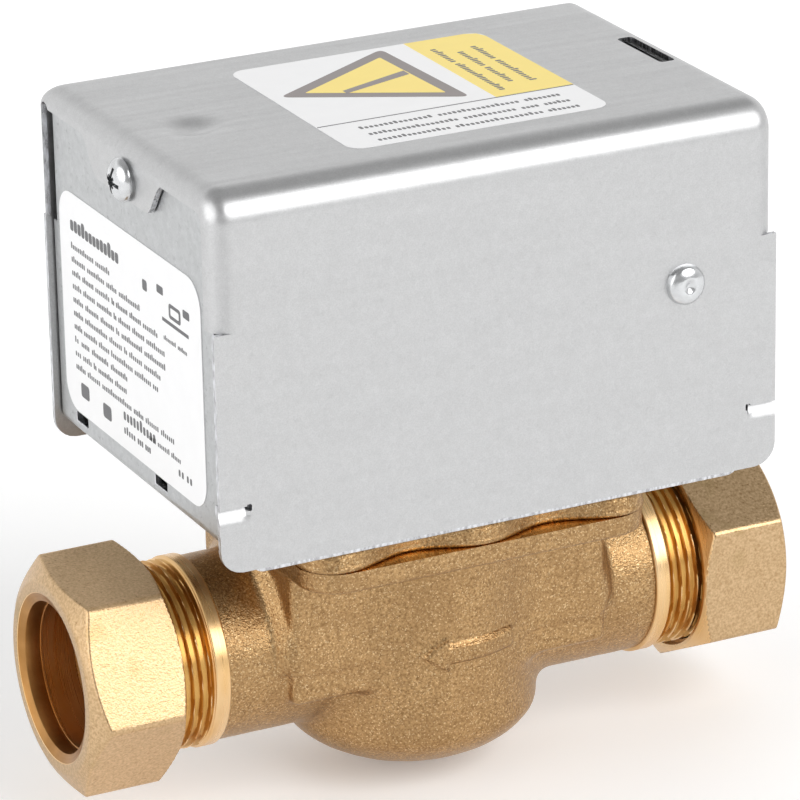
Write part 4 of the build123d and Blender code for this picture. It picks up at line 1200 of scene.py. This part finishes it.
def end_label():
    low, high = box_mm("end_label")
    thick = 0.10
    face = chassis_low.x

    def place(a, b, up):
        return (face - up, high.y - a, b)

    width = high.y - low.y
    bm = bmesh.new()
    flat_patch(bm, rounded_rectangle(0, width, low.z, high.z, 4.2), place, 0, thick)
    ink = thick + 0.012
    text_line(bm, place, 4.0, 21.5, high.z - 4.6, 2.3, (10,), 1, ink)
    lines = ((4.0, 18.0, (8, 5)), (4.0, 28.5, (4, 5, 3, 6)), (4.0, 34.5, (3, 4, 5, 1, 4, 4, 5)))
    lines += ((4.0, 36.8, (3, 4, 5, 1, 4, 4, 6)), (4.0, 36.8, (3, 4, 4, 1, 6, 6)))
    lines += ((4.0, 35.0, (3, 7, 4, 1, 4, 5)), (4.0, 34.0, (3, 5, 4, 8, 6, 2)), (4.0, 23.0, (1, 2, 4, 4)))
    lines += ((4.0, 22.6, (2, 3, 1, 5, 4)), (4.0, 39.0, (3, 4, 9, 3, 4, 4)))
    for k, (start, end, words) in enumerate(lines):
        text_line(bm, place, start, end, high.z - 8.0 - 2.05 * k, 1.05, words, 1, ink)
    text_line(bm, place, 30.0, 41.0, high.z - 29.1 + 0.4, 0.95, (3, 5, 4), 1, ink)
    text_line(bm, place, 21.0, 32.5, low.z + 5.4, 1.9, (9,), 1, ink)
    text_line(bm, place, 21.0, 30.5, low.z + 3.0, 1.3, (4, 2, 2), 1, ink)
    text_line(bm, place, 40.0, 45.0, low.z + 3.2, 1.5, (2, 2), 1, ink)
    for a, w in ((5.5, 3.0), (13.5, 3.0)):
        flat_patch(bm, bar(a, a + w, low.z + 4.2 - 0.05 * a, 2.2), place, 1, ink)
    # a generic flow mark: a box on a pipe between two ports
    mark_z = high.z - 7.6
    flat_patch(bm, bar(36.2, 45.2, mark_z - 1.4, 0.55), place, 1, ink)
    flat_patch(bm, bar(38.6, 42.6, mark_z + 0.5, 2.2), place, 1, ink)
    flat_patch(bm, bar(39.2, 42.0, mark_z + 0.5, 1.1), place, 0, ink + 0.008)
    for a, b in ((34.6, 2.6), (43.4, 1.6)):
        flat_patch(bm, bar(a, a + 2.2, mark_z + b, 1.2), place, 1, ink)
    text_line(bm, place, 36.5, 44.5, mark_z - 4.0, 0.8, (4, 3), 1, ink)
    flat_patch(bm, bar(29.6, 31.2, mark_z + 1.6, 1.6), place, 1, ink)
    obj = mesh_object("end_label_print", bm, [LABEL, INK], 30)
    return finish_piece(obj, "valve", "label_silver", "end_label")


top_label()
end_label()


# ---------------------------------------------------------------- CAD nodes that stay, with finishes
KEPT = {
    "left_olive": TURNED, "right_olive": TURNED, "valve_stem": TURNED, "paddle_arm": TURNED,
    "pinion_bush": TURNED, "bonnet_seal": RUBBER, "stem_o_rings": RUBBER, "ball_plug": RUBBER,
    "cable_grommet": RUBBER, "bonnet_screws": SCREW, "head_screws": SCREW, "pillar_screws": SCREW,
    "motor_screws": SCREW, "switch_screws": SCREW, "earth_screw": SCREW, "cover_nut": SCREW,
    "stem_clip": SCREW, "pivot_clip": SCREW, "motor_plate": PLATE, "plate_pillars": PLATE,
    "spring_post": PLATE, "lever_pivot": PLATE, "manual_lever": PLATE, "return_spring": WIRE,
    "sector_gear": NYLON, "motor_pinion": PLATE, "motor_can": MOTOR, "motor_cap": MOTOR,
    "motor_coil": COIL, "switch_body": BLACK, "switch_plunger": RED, "lever_knob": BLACK,
    "switch_terminals": TURNED, "earth_tag": TURNED,
}
for node, material in KEPT.items():
    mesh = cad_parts[node].data
    mesh.materials.clear()
    mesh.materials.append(material)


# ---------------------------------------------------------------- stage, light and camera
def floor():
    """A wide pale floor just under the valve."""
    bm = bmesh.new()
    half, count = 3000.0, 24
    level = min(BODY_LOW, nut_low.z) - 0.3
    rows = []
    for i in range(count + 1):
        row = []
        for j in range(count + 1):
            x, y = half * (2 * i / count - 1), half * (2 * j / count - 1)
            row.append(bm.verts.new((x, y, level)))
        rows.append(row)
    grid_faces(bm, rows)
    mesh_object("floor", bm, [FLOOR])


def lamp(name, direction, spread, strength, colour=(1, 1, 1)):
    """A broad, even light from far away, spread over an angle in degrees like a big soft box."""
    light = bpy.data.lights.new(name, "SUN")
    light.energy = strength
    light.angle = math.radians(spread)
    light.color = colour
    obj = bpy.data.objects.new(name, light)
    obj.rotation_euler = Vector(direction).to_track_quat("Z", "Y").to_euler()
    bpy.context.scene.collection.objects.link(obj)


def studio_world():
    """A bright tent: white near the horizon, greyer overhead, and dimmer towards the front."""
    world = bpy.data.worlds.new("studio")
    world.use_nodes = True
    tree = world.node_tree
    background = tree.nodes["Background"]
    direction = tree.nodes.new("ShaderNodeTexCoord").outputs["Generated"]
    split = tree.nodes.new("ShaderNodeSeparateXYZ")
    tree.links.new(direction, split.inputs[0])
    ramp = tree.nodes.new("ShaderNodeValToRGB")
    tree.links.new(split.outputs["Z"], ramp.inputs["Fac"])
    stops = ((0.0, 0.98), (0.44, 1.08), (0.64, 0.66), (0.78, 0.46), (1.0, 0.46))
    ramp.color_ramp.elements[0].position, ramp.color_ramp.elements[1].position = 0.0, 1.0
    for position, _ in stops[1:-1]:
        ramp.color_ramp.elements.new(position)
    for element, (_, level) in zip(ramp.color_ramp.elements, stops):
        element.color = (level, level, level, 1)
    front = tree.nodes.new("ShaderNodeMapRange")
    tree.links.new(split.outputs["Y"], front.inputs["Value"])
    front.inputs["From Min"].default_value = -0.9
    front.inputs["From Max"].default_value = 0.1
    front.inputs["To Min"].default_value = 0.42
    tree.links.new(ramp.outputs["Color"], background.inputs["Color"])
    tree.links.new(front.outputs["Result"], background.inputs["Strength"])
    bpy.context.scene.world = world


def camera():
    """The photographer's view: from the left and above, with a long lens and a slight roll."""
    azimuth, elevation, roll = math.radians(-25.897), math.radians(20.946), math.radians(-1.171)
    level = math.cos(elevation)
    back = Vector((math.sin(azimuth) * level, -math.cos(azimuth) * level, math.sin(elevation)))
    right = Vector((0, 0, 1)).cross(back).normalized()
    up = back.cross(right)
    tilted_right = right * math.cos(roll) + up * math.sin(roll)
    tilted_up = up * math.cos(roll) - right * math.sin(roll)
    data = bpy.data.cameras.new("camera")
    data.sensor_width = 36.0
    data.lens = 230.08
    data.clip_start, data.clip_end = 0.05, 20.0
    obj = bpy.data.objects.new("camera", data)
    turn = Matrix((tilted_right, tilted_up, back)).transposed().to_4x4()
    stand = Vector((-246.243, -621.509, 296.424)) * MM
    obj.matrix_world = Matrix.Translation(stand) @ turn
    bpy.context.scene.collection.objects.link(obj)
    bpy.context.scene.camera = obj


floor()
studio_world()
lamp("key", (0.39, -0.72, 0.57), 46, 1.7)
lamp("left_fill", (-0.93, -0.1, 0.34), 60, 1.0)
camera()
bpy.context.scene.view_settings.view_transform = "Standard"
